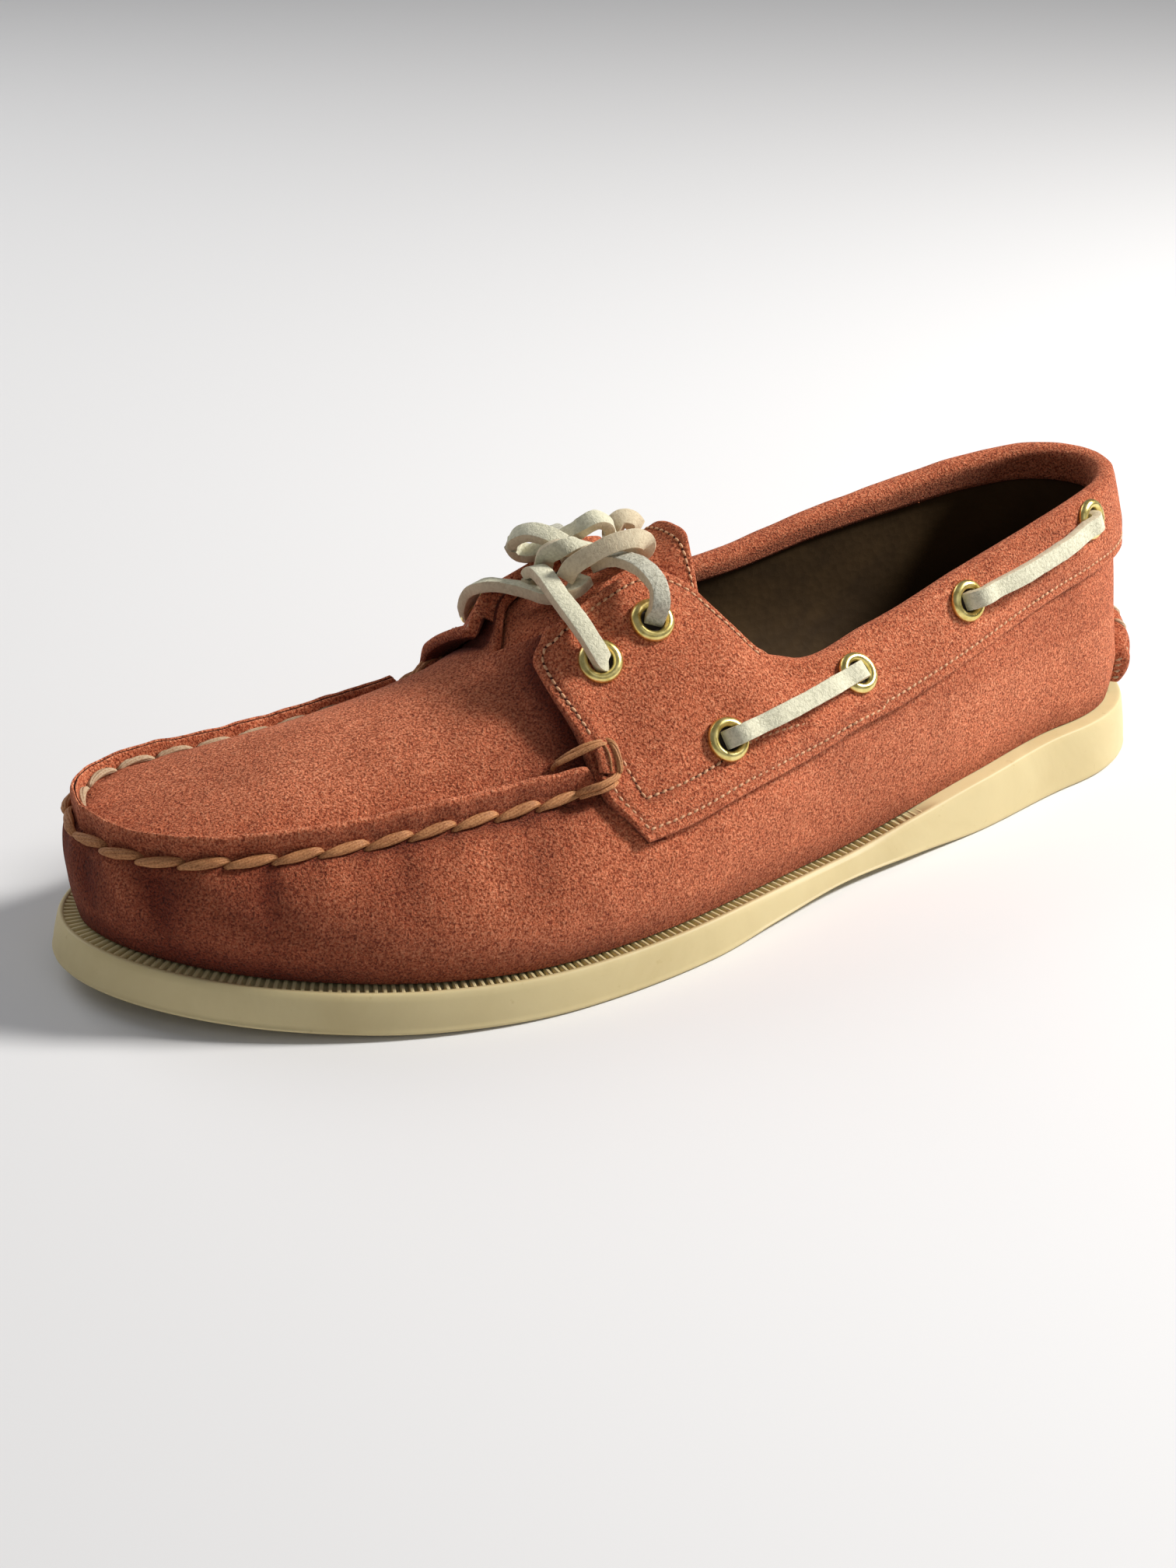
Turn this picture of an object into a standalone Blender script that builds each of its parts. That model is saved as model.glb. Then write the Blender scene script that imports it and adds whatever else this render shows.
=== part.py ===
"""Boat shoe for the left foot, standing empty on its sole.

Lengths are in metres. X runs from the heel to the toe, Y towards the outer side
of the foot, Z up. The sole rests on Z = 0. Tables hold shares of the leading
sizes, so a change of length, width or collar height carries through.
"""
import bpy
import bmesh
import numpy as np

for old in list(bpy.data.objects):
    bpy.data.objects.remove(old, do_unlink=True)

MM = 0.001
# leading sizes
LENGTH = 299.5*MM            # sole, heel to toe
BALL_WIDTH = 106.5*MM        # sole at the ball
COLLAR_HEIGHT = 74.5*MM      # top line at the heel above the floor
HEEL_RIM = 15.0*MM           # sole side wall at the heel
TOE_SWING = 13.0*MM          # toe tip towards the inner side
SEAM_SWING = 18.5*MM         # same for the ring seam of the vamp
FLARE = 1.8*MM               # sole underside wider than its rim
WALL = 2.2*MM                # upper, leather with lining
GAP = 0.3*MM                 # joint clearance between pieces
INNER_DROP = 1.5*MM          # ring seam lower along the inner side
SADDLE_THICK = 2.0*MM
HEEL_PATCH_THICK = 2.3*MM
TONGUE_THICK = 2.4*MM
TONGUE_SEAT = 0.9*MM
INSOLE_THICK = 3.0*MM
RIDGE_HEIGHT = 5.0*MM        # folded seam edge above the plug
RIDGE_WIDTH = 3.0*MM
EYELET_OUTER = 5.2*MM
EYELET_INNER = 2.9*MM
EYELET_RISE = 1.3*MM
LACE_WIDTH = 4.3*MM
LACE_THICK = 2.6*MM

# share of length from the heel, half width outer side and inner side as shares of
# the ball width, rim height and underside height as shares of the heel rim
SOLE_ROWS = (
    (0.00, 0.320, 0.320, 1.000, 0.080),
    (0.13, 0.320, 0.320, 1.000, 0.000),
    (0.25, 0.373, 0.330, 0.880, 0.000),
    (0.33, 0.398, 0.325, 0.707, 0.080),
    (0.42, 0.425, 0.326, 0.527, 0.133),
    (0.50, 0.468, 0.355, 0.560, 0.067),
    (0.57, 0.512, 0.402, 0.607, 0.000),
    (0.68, 0.544, 0.478, 0.613, 0.000),
    (0.80, 0.528, 0.498, 0.647, 0.033),
    (0.90, 0.498, 0.474, 0.747, 0.147),
    (1.00, 0.468, 0.441, 0.953, 0.347),
)
# ring guide: share of its length, half widths (share of ball width), height (share
# of collar height). In front it is the moccasin seam, behind it shapes the quarters.
GUIDE_ROWS = (
    (0.00, 0.265, 0.270, 0.564),
    (0.12, 0.270, 0.275, 0.564),
    (0.25, 0.336, 0.303, 0.564),
    (0.37, 0.374, 0.322, 0.564),
    (0.50, 0.403, 0.351, 0.577),
    (0.60, 0.393, 0.336, 0.588),
    (0.67, 0.364, 0.270, 0.581),
    (0.75, 0.339, 0.246, 0.556),
    (0.85, 0.317, 0.229, 0.529),
    (0.92, 0.318, 0.246, 0.513),
    (1.00, 0.351, 0.303, 0.490),
)
# top line from the heel along collar and throat, then the spine of the vamp:
# key, x (share of length), outer y, inner y (ball width), outer z, inner z (collar);
# the first row mirrors the third, so the line runs round the heel without a corner
TOP_ROWS = (
    (-0.045, -0.4524, -0.090, 0.090, 0.999, 1.001),
    (0.000, -0.4658, 0.000, 0.000, 1.000, 1.000),
    (0.045, -0.4524, 0.090, -0.090, 1.001, 0.999),
    (0.085, -0.4274, 0.150, -0.154, 0.993, 0.985),
    (0.130, -0.3840, 0.195, -0.203, 0.980, 0.953),
    (0.190, -0.3172, 0.231, -0.243, 0.940, 0.898),
    (0.270, -0.2337, 0.260, -0.269, 0.877, 0.840),
    (0.360, -0.1336, 0.282, -0.286, 0.784, 0.760),
    (0.445, -0.0434, 0.294, -0.294, 0.760, 0.760),
    (0.480, -0.0134, 0.251, -0.256, 0.846, 0.846),
    (0.510, 0.0083, 0.185, -0.194, 0.946, 0.946),
    (0.535, 0.0234, 0.116, -0.121, 1.023, 1.020),
    (0.560, 0.0501, 0.083, -0.088, 1.058, 1.052),
    (0.590, 0.0935, 0.087, -0.090, 1.009, 1.007),
    (0.620, 0.1289, 0.093, -0.093, 0.930, 0.934),
    (0.655, 0.1586, -0.005, -0.005, 0.826, 0.826),
    (0.720, 0.2003, -0.014, -0.014, 0.757, 0.757),
    (0.800, 0.2538, -0.036, -0.036, 0.706, 0.706),
    (0.890, 0.3038, -0.064, -0.064, 0.666, 0.666),
    (1.000, 0.3472, -0.095, -0.095, 0.626, 0.626),
)
# lower edge of the saddle band: key along the girth, height share on the surface
BAND_ROWS = (
    (0.000, 0.760),
    (0.135, 0.745),
    (0.180, 0.730),
    (0.235, 0.700),
    (0.285, 0.655),
    (0.330, 0.610),
    (0.375, 0.565),
    (0.410, 0.545),
    (0.450, 0.500),
    (0.485, 0.465),
    (0.520, 0.425),
    (0.560, 0.370),
    (0.620, 0.320),
)
# front edge of the saddle: height share, x on the outer side, x on the inner side
FRONT_ROWS = (
    (0.32, 0.1290, 0.1370),
    (0.42, 0.1400, 0.1500),
    (0.50, 0.1480, 0.1600),
    (0.60, 0.1490, 0.1620),
    (0.75, 0.1490, 0.1620),
    (0.88, 0.1460, 0.1590),
    (1.00, 0.1290, 0.1400),
)
# eyelets of one side: key along the girth, height share, for outer and inner side
EYELET_ROWS = (
    ("low", 0.6000, 0.840, 0.6130, 0.805),
    ("up", 0.5640, 0.865, 0.5640, 0.850),
    ("side1", 0.5290, 0.600, 0.5290, 0.590),
    ("side2", 0.3940, 0.830, 0.4040, 0.790),
    ("side3", 0.2770, 0.905, 0.2850, 0.830),
    ("side4", 0.1290, 0.945, 0.1280, 0.860),
)
SEAM = 0.56                  # height share of the ring seam
SPINE = 0.655                # key where the two sides join in front of the throat
BAND_END = SPINE             # last column key of the saddle grid
SEAT = 0.5*MM                # overlay clearance on the curved upper


def column(rows, n):
    return np.array([r[n] for r in rows], float)


def through(x, xs, ys):
    x = np.asarray(x, float)
    m = np.gradient(ys, xs)
    h = np.diff(xs)
    i = np.clip(np.searchsorted(xs, x, side="right")-1, 0, len(xs)-2)
    t = np.clip((x-xs[i])/h[i], 0, 1)
    return ((1+2*t)*(1-t)**2*ys[i]+t*(1-t)**2*h[i]*m[i]
            + t*t*(3-2*t)*ys[i+1]+t*t*(t-1)*h[i]*m[i+1])


def smooth(x, xs, ys):
    x = np.asarray(x, float)
    xs = np.asarray(xs, float)
    ys = np.asarray(ys, float)
    h = np.diff(xs)
    d = np.diff(ys)/h
    m = np.concatenate([[d[0]], np.zeros(len(xs)-2), [d[-1]]])
    for i in range(1, len(xs)-1):
        if d[i-1]*d[i] > 0:
            a = 2*h[i]+h[i-1]
            b = h[i]+2*h[i-1]
            m[i] = (a+b)/(a/d[i-1]+b/d[i])
    i = np.clip(np.searchsorted(xs, x, side="right")-1, 0, len(xs)-2)
    t = np.clip((x-xs[i])/h[i], 0, 1)
    return ((1+2*t)*(1-t)**2*ys[i]+t*(1-t)**2*h[i]*m[i]
            + t*t*(3-2*t)*ys[i+1]+t*t*(t-1)*h[i]*m[i+1])


def rise(x, a, b):
    t = np.clip((np.asarray(x, float)-a)/(b-a), 0, 1)
    return t*t*(3-2*t)


def unit(a):
    return a/(np.linalg.norm(a, axis=-1, keepdims=True)+1e-12)


def caps(s, heel, toe, power_heel, power_toe):
    a = np.clip(1-s/heel, 0, 1)
    b = np.clip((s-toe)/(1-toe), 0, 1)
    return np.sqrt(np.clip(1-a**power_heel, 0, 1))*np.sqrt(np.clip(1-b**power_toe, 0, 1))


def sole_plan(s, side, inset=0.0):
    """Sole outline of one side: side is +1 outer, -1 inner."""
    w = through(s, column(SOLE_ROWS, 0), column(SOLE_ROWS, 1 if side > 0 else 2))
    c = -TOE_SWING*np.clip((s-0.45)/0.55, 0, 1)**2
    y = c+side*(w*BALL_WIDTH-inset)*caps(s, 0.13, 0.70, 2.2, 2.12)
    return (LENGTH-2*inset)*(s-0.5), y


def guide_plan(s, side):
    w = through(s, column(GUIDE_ROWS, 0), column(GUIDE_ROWS, 1 if side > 0 else 2))
    c = -SEAM_SWING*np.clip((s-0.45)/0.55, 0, 1)**2
    y = c+side*w*BALL_WIDTH*caps(s, 0.13, 0.80, 2.2, 2.6)
    return GUIDE_BACK+(GUIDE_TIP-GUIDE_BACK)*s, y


GUIDE_BACK = -0.4780*LENGTH
GUIDE_TIP = 0.4695*LENGTH


def rim_z(x):
    s = np.clip(x/LENGTH+0.5, 0, 1)
    return smooth(s, column(SOLE_ROWS, 0), column(SOLE_ROWS, 3))*HEEL_RIM


def under_z(x):
    s = np.clip(x/LENGTH+0.5, 0, 1)
    return smooth(s, column(SOLE_ROWS, 0), column(SOLE_ROWS, 4))*HEEL_RIM


def ledge(x):
    s = np.clip(x/LENGTH+0.5, 0, 1)
    return smooth(s, (0, .2, .45, .7, .9, 1), (4.2, 4.3, 3.6, 3.6, 4.6, 4.4))*MM+FLARE


def along(plan, t, side):
    """Point and outward normal at share t of the length of a half outline."""
    s = (1-np.cos(np.linspace(0, np.pi, 801)))/2
    x, y = plan(s, side)
    g = np.concatenate([[0], np.cumsum(np.hypot(np.diff(x), np.diff(y)))])
    g = g/g[-1]
    e = 2e-3
    lo, hi = np.clip(t-e, 0, 1), np.clip(t+e, 0, 1)
    ax = np.interp(hi, g, x)-np.interp(lo, g, x)
    ay = np.interp(hi, g, y)-np.interp(lo, g, y)
    ln = np.hypot(ax, ay)+1e-12
    nx = np.where(t > 0.996, 1.0, np.where(t < 0.004, -1.0, -side*ay/ln))
    ny = np.where((t > 0.996) | (t < 0.004), 0.0, side*ax/ln)
    return np.interp(t, g, x), np.interp(t, g, y), np.stack([nx, ny, 0*nx], -1)


def feather(t, side):
    """Lower edge of the upper on the sole ledge."""
    x, y, n = along(sole_plan, t, side)
    d = ledge(x)
    return np.stack([x-n[..., 0]*d, y-n[..., 1]*d, rim_z(x)+GAP], -1), n


def guide(t, side):
    x, y, n = along(guide_plan, t, side)
    s = (x-GUIDE_BACK)/(GUIDE_TIP-GUIDE_BACK)
    z = smooth(s, column(GUIDE_ROWS, 0), column(GUIDE_ROWS, 3))*COLLAR_HEIGHT
    if side < 0:
        z = z-INNER_DROP*rise(s, 0.60, 0.70)*(1-rise(s, 0.84, 0.98))
    return np.stack([x, y, z], -1), n


def top(t, side):
    k = column(TOP_ROWS, 0)
    outer_y, inner_y, outer_z, inner_z = (through(t, k, column(TOP_ROWS, n)) for n in (2, 3, 4, 5))
    joined = np.asarray(t) >= SPINE-1e-9
    y = np.where(joined, (outer_y+inner_y)/2, outer_y if side > 0 else inner_y)
    z = np.where(joined, (outer_z+inner_z)/2, outer_z if side > 0 else inner_z)
    return np.stack([through(t, k, column(TOP_ROWS, 1))*LENGTH, y*BALL_WIDTH, z*COLLAR_HEIGHT], -1)


def bezier(a, b, c, d, t):
    t = t[..., None]
    return (1-t)**3*a+3*(1-t)**2*t*b+3*(1-t)*t*t*c+t**3*d


def surface(t, v, side):
    """Outer face of the upper: t runs heel to toe, v from the feather edge up."""
    t, v = np.broadcast_arrays(np.asarray(t, float), np.asarray(v, float))
    low, n_low = feather(t, side)
    mid, n_mid = guide(t, side)
    crest = top(t, side)
    up = np.zeros_like(low)
    up[..., 2] = 1
    front = rise(t, 0.50, 0.66)[..., None]
    toe = rise(t, 0.80, 1.0)[..., None]
    flap = (rise(t, 0.44, 0.52)*(1-rise(t, 0.62, 0.66)))[..., None]
    d0 = unit(n_low*(0.22+0.16*front-0.12*toe)+up)
    back_dir = unit(-n_mid*0.10+up)
    flap_dir = unit(-n_mid*0.55+up*0.9)
    front_dir = unit(-n_mid*(0.95-0.35*toe)+up*(0.62+0.30*toe))
    d1 = unit(back_dir*(1-front)*(1-flap)+flap_dir*flap*(1-front)+front_dir*front)
    ln = np.linalg.norm(mid-low, axis=-1, keepdims=True)
    wall = bezier(low, low+d0*ln*0.42, mid-d1*ln*0.36, mid, np.clip(v/SEAM, 0, 1))
    q = np.clip((v-SEAM)/(1-SEAM), 0, 1)
    ln = np.linalg.norm(crest-mid, axis=-1, keepdims=True)
    d2 = unit(-n_mid*(0.30+0.55*flap)+up*(1.0-0.45*flap))
    high = bezier(mid, mid+d1*ln*0.34, crest-d2*ln*0.34, crest, q)
    run = np.linalg.norm((crest-mid)[..., :2], axis=-1)+1e-9
    step = top(np.clip(t+0.01, 0, 1), side)-top(np.clip(t-0.01, 0, 1), side)
    fall = np.where(t > SPINE, step[..., 2]/(np.abs(step[..., 0])+1e-9), 0)
    fall = fall*(crest-mid)[..., 0]/run
    lift = 2*(crest-mid)[..., 2]/run-fall
    plug = mid+(crest-mid)*q[..., None]
    plug[..., 2] = ((1+2*q)*(1-q)**2*mid[..., 2]+q*(1-q)**2*run*lift
                    + q*q*(3-2*q)*crest[..., 2]+q*q*(q-1)*run*fall)
    mix = rise(t, 0.60, 0.67)[..., None]
    return np.where((v <= SEAM)[..., None], wall, high*(1-mix)+plug*mix)


def normal(t, v, side):
    """Outward unit normal of the upper's outer face."""
    t, v = np.broadcast_arrays(np.asarray(t, float), np.asarray(v, float))
    e = 4e-3
    down = np.where(v > SEAM, np.maximum(v-e, SEAM+1e-4), v-e)
    upper = np.where(v > SEAM, v+e, np.minimum(v+e, SEAM))
    dv = surface(t, np.clip(upper, 0, 1), side)-surface(t, np.clip(down, 0, 1), side)
    dt = surface(np.clip(t+e, 0, 1), v, side)-surface(np.clip(t-e, 0, 1), v, side)
    n = unit(np.cross(dv, dt)*side)
    ends = (t < 0.003) | (t > 0.997)
    n[..., 1] = np.where(ends, 0, n[..., 1])
    return unit(n)


def material(name, colour, rough, metal=0.0):
    m = bpy.data.materials.new(name)
    m.use_nodes = True
    b = m.node_tree.nodes["Principled BSDF"]
    b.inputs["Base Color"].default_value = (*colour, 1)
    b.inputs["Roughness"].default_value = rough
    b.inputs["Metallic"].default_value = metal
    m.diffuse_color = (*colour, 1)
    return m


def solid(name, verts, faces, mat):
    """One closed object from points and faces, welded and turned outward."""
    mesh = bpy.data.meshes.new(name)
    bm = bmesh.new()
    vs = [bm.verts.new(p) for p in np.asarray(verts, float).reshape(-1, 3)]
    for f in faces:
        loop = []
        for i in f:
            if not loop or vs[i] is not loop[-1]:
                loop.append(vs[i])
        if len(loop) > 2:
            try:
                bm.faces.new(loop)
            except ValueError:
                pass
    bmesh.ops.remove_doubles(bm, verts=bm.verts, dist=1e-5)
    bmesh.ops.dissolve_degenerate(bm, dist=1e-6, edges=bm.edges)
    bmesh.ops.triangulate(bm, faces=bm.faces, quad_method="SHORT_EDGE")
    bmesh.ops.recalc_face_normals(bm, faces=bm.faces)
    bm.to_mesh(mesh)
    bm.free()
    ob = bpy.data.objects.new(name, mesh)
    ob.data.materials.append(mat)
    bpy.context.scene.collection.objects.link(ob)
    return ob


def slab(name, outer, inner, mat, closed=False):
    """Solid between two grids of the same size. closed joins last to first row."""
    r, c = outer.shape[:2]
    pts = np.concatenate([outer.reshape(-1, 3), inner.reshape(-1, 3)])
    o = lambda i, j: (i % r)*c+j
    k = lambda i, j: r*c+(i % r)*c+j
    f = []
    rows = r if closed else r-1
    for i in range(rows):
        for j in range(c-1):
            f.append((o(i, j), o(i, j+1), o(i+1, j+1), o(i+1, j)))
            f.append((k(i, j), k(i+1, j), k(i+1, j+1), k(i, j+1)))
        for j in (0, c-1):
            f.append((o(i, j), o(i+1, j), k(i+1, j), k(i, j)))
    if not closed:
        for i in (0, r-1):
            for j in range(c-1):
                f.append((o(i, j), o(i, j+1), k(i, j+1), k(i, j)))
    return solid(name, pts, f, mat)


SUEDE = material("suede_coral", (0.52, 0.16, 0.085), 0.92)
PLUG = material("suede_saddle", (0.50, 0.15, 0.08), 0.92)
CREAM = material("rubber_cream", (0.72, 0.62, 0.42), 0.62)
NAVY = material("insole_leather", (0.045, 0.05, 0.075), 0.7)
TONGUE = material("suede_tongue", (0.50, 0.15, 0.08), 0.92)
PATCH = material("suede_heel_patch", (0.52, 0.16, 0.085), 0.92)
BRASS = material("eyelet_brass", (0.78, 0.60, 0.28), 0.32, 1.0)
HIDE = material("lace_hide", (0.66, 0.63, 0.52), 0.8)


def build_sole():
    s = (1-np.cos(np.linspace(0, np.pi, 49)))/2
    s = s[1:-1]
    rows = []
    for inset, lift in ((0.8*MM, 0.0), (0.0, 0.8*MM), (FLARE, None)):
        for side in (1, -1):
            x, y = sole_plan(s, side, inset)
            z = rim_z(x) if lift is None else under_z(x)+lift
            rows.append(np.stack([x, y, z], -1))
    bl, br, sl, sr, tl, tr = rows
    mid_b = (bl+br)/2
    mid_t = (tl+tr)/2
    ring = np.stack([mid_b, bl, sl, tl, mid_t, tr, sr, br], 1)
    n, m = ring.shape[:2]
    pts = ring.reshape(-1, 3)
    ends = []
    for e in (0.0, 1.0):
        for inset, lift in ((0.8*MM, 0.0), (0.0, 0.8*MM), (FLARE, None)):
            x, y = sole_plan(np.array([e]), 1, inset)
            z = rim_z(x) if lift is None else under_z(x)+lift
            ends.append([x[0], y[0], z[0]])
    pts = np.concatenate([pts, np.array(ends)])
    f = []
    for i in range(n-1):
        for j in range(m):
            a, b = i*m+j, i*m+(j+1) % m
            f.append((a, b, b+m, a+m))
    for base, i in ((n*m, 0), (n*m+3, n-1)):
        b, sd, t = base, base+1, base+2
        r = i*m
        f += [(b, r+0, r+1), (b, r+1, r+2, sd), (sd, r+2, r+3, t), (t, r+3, r+4),
              (t, r+4, r+5), (t, r+5, r+6, sd), (sd, r+6, r+7, b), (b, r+7, r+0)]
    return solid("sole", pts, f, CREAM)


def build_insole():
    s = (1-np.cos(np.linspace(0, np.pi, 37)))/2
    s = s[1:-1]
    lift = GAP
    rows = []
    for up in (0.0, INSOLE_THICK):
        for side in (1, -1):
            x, _ = sole_plan(s, side)
            d = ledge(x)+WALL+1.6*MM
            tip = 10.5*MM
            _, y = sole_plan(s, side, d)
            x = x*(1-2*tip/LENGTH)
            rows.append(np.stack([x, y, rim_z(x)+lift+up], -1))
    bl, br, tl, tr = rows
    ring = np.stack([(bl+br)/2, bl, tl, (tl+tr)/2, tr, br], 1)
    n, m = ring.shape[:2]
    f = []
    for i in range(n-1):
        for j in range(m):
            a, b = i*m+j, i*m+(j+1) % m
            f.append((a, b, b+m, a+m))
    for i in (0, n-1):
        r = i*m
        f += [(r, r+1, r+2, r+3), (r, r+3, r+4, r+5)]
    return solid("insole", ring.reshape(-1, 3), f, NAVY)


def girth_keys():
    return np.concatenate([np.linspace(0, 0.44, 15), np.linspace(0.44, SPINE, 14)[1:],
                           np.linspace(SPINE, 1, 15)[1:]])


def build_upper():
    t = girth_keys()
    n = len(t)
    walls = np.array([0.0, 0.07, 0.16, 0.26, 0.36, 0.45, 0.52])
    highs = np.array([0.62, 0.70, 0.78, 0.86, 0.93, 1.0])
    up = np.array([0.0, 0.0, 1.0])

    def outer(side):
        rows = [surface(t, v, side) for v in walls]
        mid = surface(t, SEAM, side)
        run_w = np.linalg.norm(mid-surface(t, SEAM-0.05, side), axis=-1)
        run_p = np.linalg.norm(mid-surface(t, SEAM+0.05, side), axis=-1)
        half = RIDGE_WIDTH/2
        vw = SEAM-0.05*half/run_w
        vp = SEAM+0.05*half/run_p
        gx, nm = guide(t, side)
        edge = front_key(np.array([SEAM]), side)[0]
        edge = surface(edge, SEAM, side)[0]
        start = edge+(1.5*MM if side > 0 else 4.5*MM)
        h = RIDGE_HEIGHT*rise(gx[:, 0], start, start+4.5*MM)
        lean = unit(up+nm*0.10)
        a = surface(t, vw, side)
        b = surface(t, vp, side)
        top_z = np.maximum(a[:, 2], b[:, 2])
        ra = a+lean*h[:, None]
        rb = b+lean*h[:, None]
        rb[:, 2] = np.where(h > 0, (ra[:, 2]+rb[:, 2]+(top_z-b[:, 2])*0)/2, rb[:, 2])
        ra[:, 2] = np.where(h > 0, rb[:, 2], ra[:, 2])
        rows += [a, ra, rb, b]
        rows += [surface(t, v, side) for v in highs]
        return np.stack(rows, 0)

    def inner(side):
        vs = np.concatenate([walls, [SEAM-0.015, SEAM+0.03], highs])
        rows = []
        for v in vs:
            nn = normal(t, v, side)
            if v == 0:
                _, nn = feather(t, side)
            if v == 1.0:
                step = top(np.clip(t+0.01, 0, 1), side)-top(np.clip(t-0.01, 0, 1), side)
                sl = step[:, 2]/(step[:, 0]+1e-9)
                sp = unit(np.stack([-sl, 0*sl, 1+0*sl], -1))
                nn = np.where((t >= SPINE-1e-6)[:, None], sp, nn)
            rows.append(surface(t, v, side)-nn*WALL)
        return np.stack(rows, 0)

    out_l, out_m = outer(1), outer(-1)
    in_l, in_m = inner(1), inner(-1)
    joined = t >= SPINE-1e-6
    shared = (in_l[-1][joined]+in_m[-1][joined])/2
    in_l[-1][joined] = shared
    in_m[-1][joined] = shared
    # one ring of columns: outer side heel to toe, then inner side back to the heel
    cat = lambda a, b: np.concatenate([a, b[:, ::-1][:, 1:-1]], 1)
    go, gi = cat(out_l, out_m), cat(in_l, in_m)
    c = go.shape[1]
    ro, ri = go.shape[0], gi.shape[0]
    pts = np.concatenate([go.reshape(-1, 3), gi.reshape(-1, 3)])
    o = lambda i, j: i*c+j % c
    k = lambda i, j: ro*c+i*c+j % c
    f = []
    for j in range(c):
        for i in range(ro-1):
            f.append((o(i, j), o(i, j+1), o(i+1, j+1), o(i+1, j)))
        for i in range(ri-1):
            f.append((k(i, j), k(i+1, j), k(i+1, j+1), k(i, j+1)))
        f.append((o(0, j), k(0, j), k(0, j+1), o(0, j+1)))
        key = t[j] if j < n else t[2*n-2-j]
        nxt = j+1
        key2 = t[nxt] if nxt < n else t[max(2*n-2-nxt, 0)]
        if min(key, key2) < SPINE-1e-6:
            f.append((o(ro-1, j), o(ro-1, j+1), k(ri-1, j+1), k(ri-1, j)))
    return solid("upper", pts, f, SUEDE)


def front_key(v, side):
    """Key of the saddle front edge at height share v."""
    want = smooth(v, column(FRONT_ROWS, 0), column(FRONT_ROWS, 1 if side > 0 else 2))
    want = want*LENGTH
    lo, hi = np.full_like(v, 0.52), np.full_like(v, 0.68)
    for _ in range(40):
        m = (lo+hi)/2
        x = surface(m, v, side)[..., 0]
        lo = np.where(x < want, m, lo)
        hi = np.where(x < want, hi, m)
    return (lo+hi)/2


def band_point(p, q, side):
    """Saddle band domain: p is the girth key, stretched near the front edge."""
    v = 0.32+(0.985-0.32)*q
    front = front_key(v, side)
    t = np.where(p <= 0.49, p, 0.49+(p-0.49)/(BAND_END-0.49)*(front-0.49))
    v_low = through(t, column(BAND_ROWS, 0), column(BAND_ROWS, 1))
    return t, v_low+(0.985-v_low)*q


def build_saddle():
    p = girth_keys()
    p = p[p < BAND_END+1e-6]
    q = np.linspace(0, 1, 8)
    grids = []
    for side in (1, -1):
        pp, qq = np.meshgrid(p, q, indexing="ij")
        t, v = band_point(pp, qq, side)
        base, nn = surface(t, v, side), normal(t, v, side)
        grids.append((base+nn*SEAT, base+nn*(SEAT+SADDLE_THICK)))
    inner = np.concatenate([grids[0][0][::-1], grids[1][0][1:]])
    outer = np.concatenate([grids[0][1][::-1], grids[1][1][1:]])
    return slab("saddle", outer, inner, PLUG)


def build_heel_patch():
    p = np.linspace(-1, 1, 13)
    q = np.linspace(0, 1, 6)
    outer, inner = [], []
    for a in p:
        side = 1 if a >= 0 else -1
        t = np.full_like(q, abs(a)*0.072)
        v = 0.05+0.40*q*np.sqrt(1-0.80*a*a)
        base, nn = surface(t, v, side), normal(t, v, side)
        inner.append(base+nn*GAP)
        outer.append(base+nn*(GAP+HEEL_PATCH_THICK*(0.75+0.25*np.sin(np.pi*q))[:, None]))
    return slab("heel_patch", np.array(outer), np.array(inner), PATCH)


def build_tongue():
    """Arched strip under the flaps, from below the plug to a free rounded end."""
    keys = (0.7159, 0.6956, 0.6753, 0.655, 0.6385, 0.6219, 0.6054, 0.5888, 0.5723, 0.5558)
    shares = (0.74, 0.80, 0.86, 0.93, 1.0)
    rows = []
    for t in keys:
        half = []
        for side in (1, -1):
            tt = np.full(len(shares), t)
            vv = np.array(shares)
            base, nn = surface(tt, vv, side), normal(tt, vv, side)
            if t >= SPINE-1e-6:
                nn[-1] = unit(np.array([0.38, 0, 1.0]))
            half.append(base-nn*(WALL+TONGUE_SEAT))
        lat, med = half
        if t >= SPINE-1e-6:
            mid = (lat[-1]+med[-1])/2
            lat, med = lat[:-1], med[:-1]
            row = [*lat, lat[-1]*0.5+mid*0.5, mid, med[-1]*0.5+mid*0.5, *med[::-1]]
        else:
            mid = (lat[-1]+med[-1])/2+np.array([0, 0, 0.9*MM])
            row = [*lat, mid, *med[::-1]]
        rows.append(row)
    last = np.array(rows[-1])
    centre = last[len(last)//2]
    for back, lift, narrow in ((4.5, 1.8, 0.85), (8.5, 4.2, 0.81), (11.5, 6.4, 0.76),
                               (13.5, 8.2, 0.64)):
        r = centre+(last-centre)*np.array([1, narrow, 1])
        side_share = (np.abs(last[:, 1]-centre[1])/np.abs(last[:, 1]-centre[1]).max())**2
        r = r+np.array([-back*MM, 0, 0])+np.outer(1-0.45*side_share, [0, 0, lift*MM])
        rows.append(list(r))
    top_face = np.array([[p for p in r] for r in rows])
    d_len = np.gradient(top_face, axis=0)
    d_wid = np.gradient(top_face, axis=1)
    nn = unit(np.cross(d_wid, d_len))
    nn = np.where(nn[..., 2:3] < 0, -nn, nn)
    return slab("tongue", top_face, top_face-nn*TONGUE_THICK, TONGUE)


def saddle_face(t, v, side, extra=0.0):
    t, v = np.atleast_1d(t).astype(float), np.atleast_1d(v).astype(float)
    nn = normal(t, v, side)
    return surface(t, v, side)[0]+nn[0]*(SEAT+SADDLE_THICK+extra), nn[0]


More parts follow.
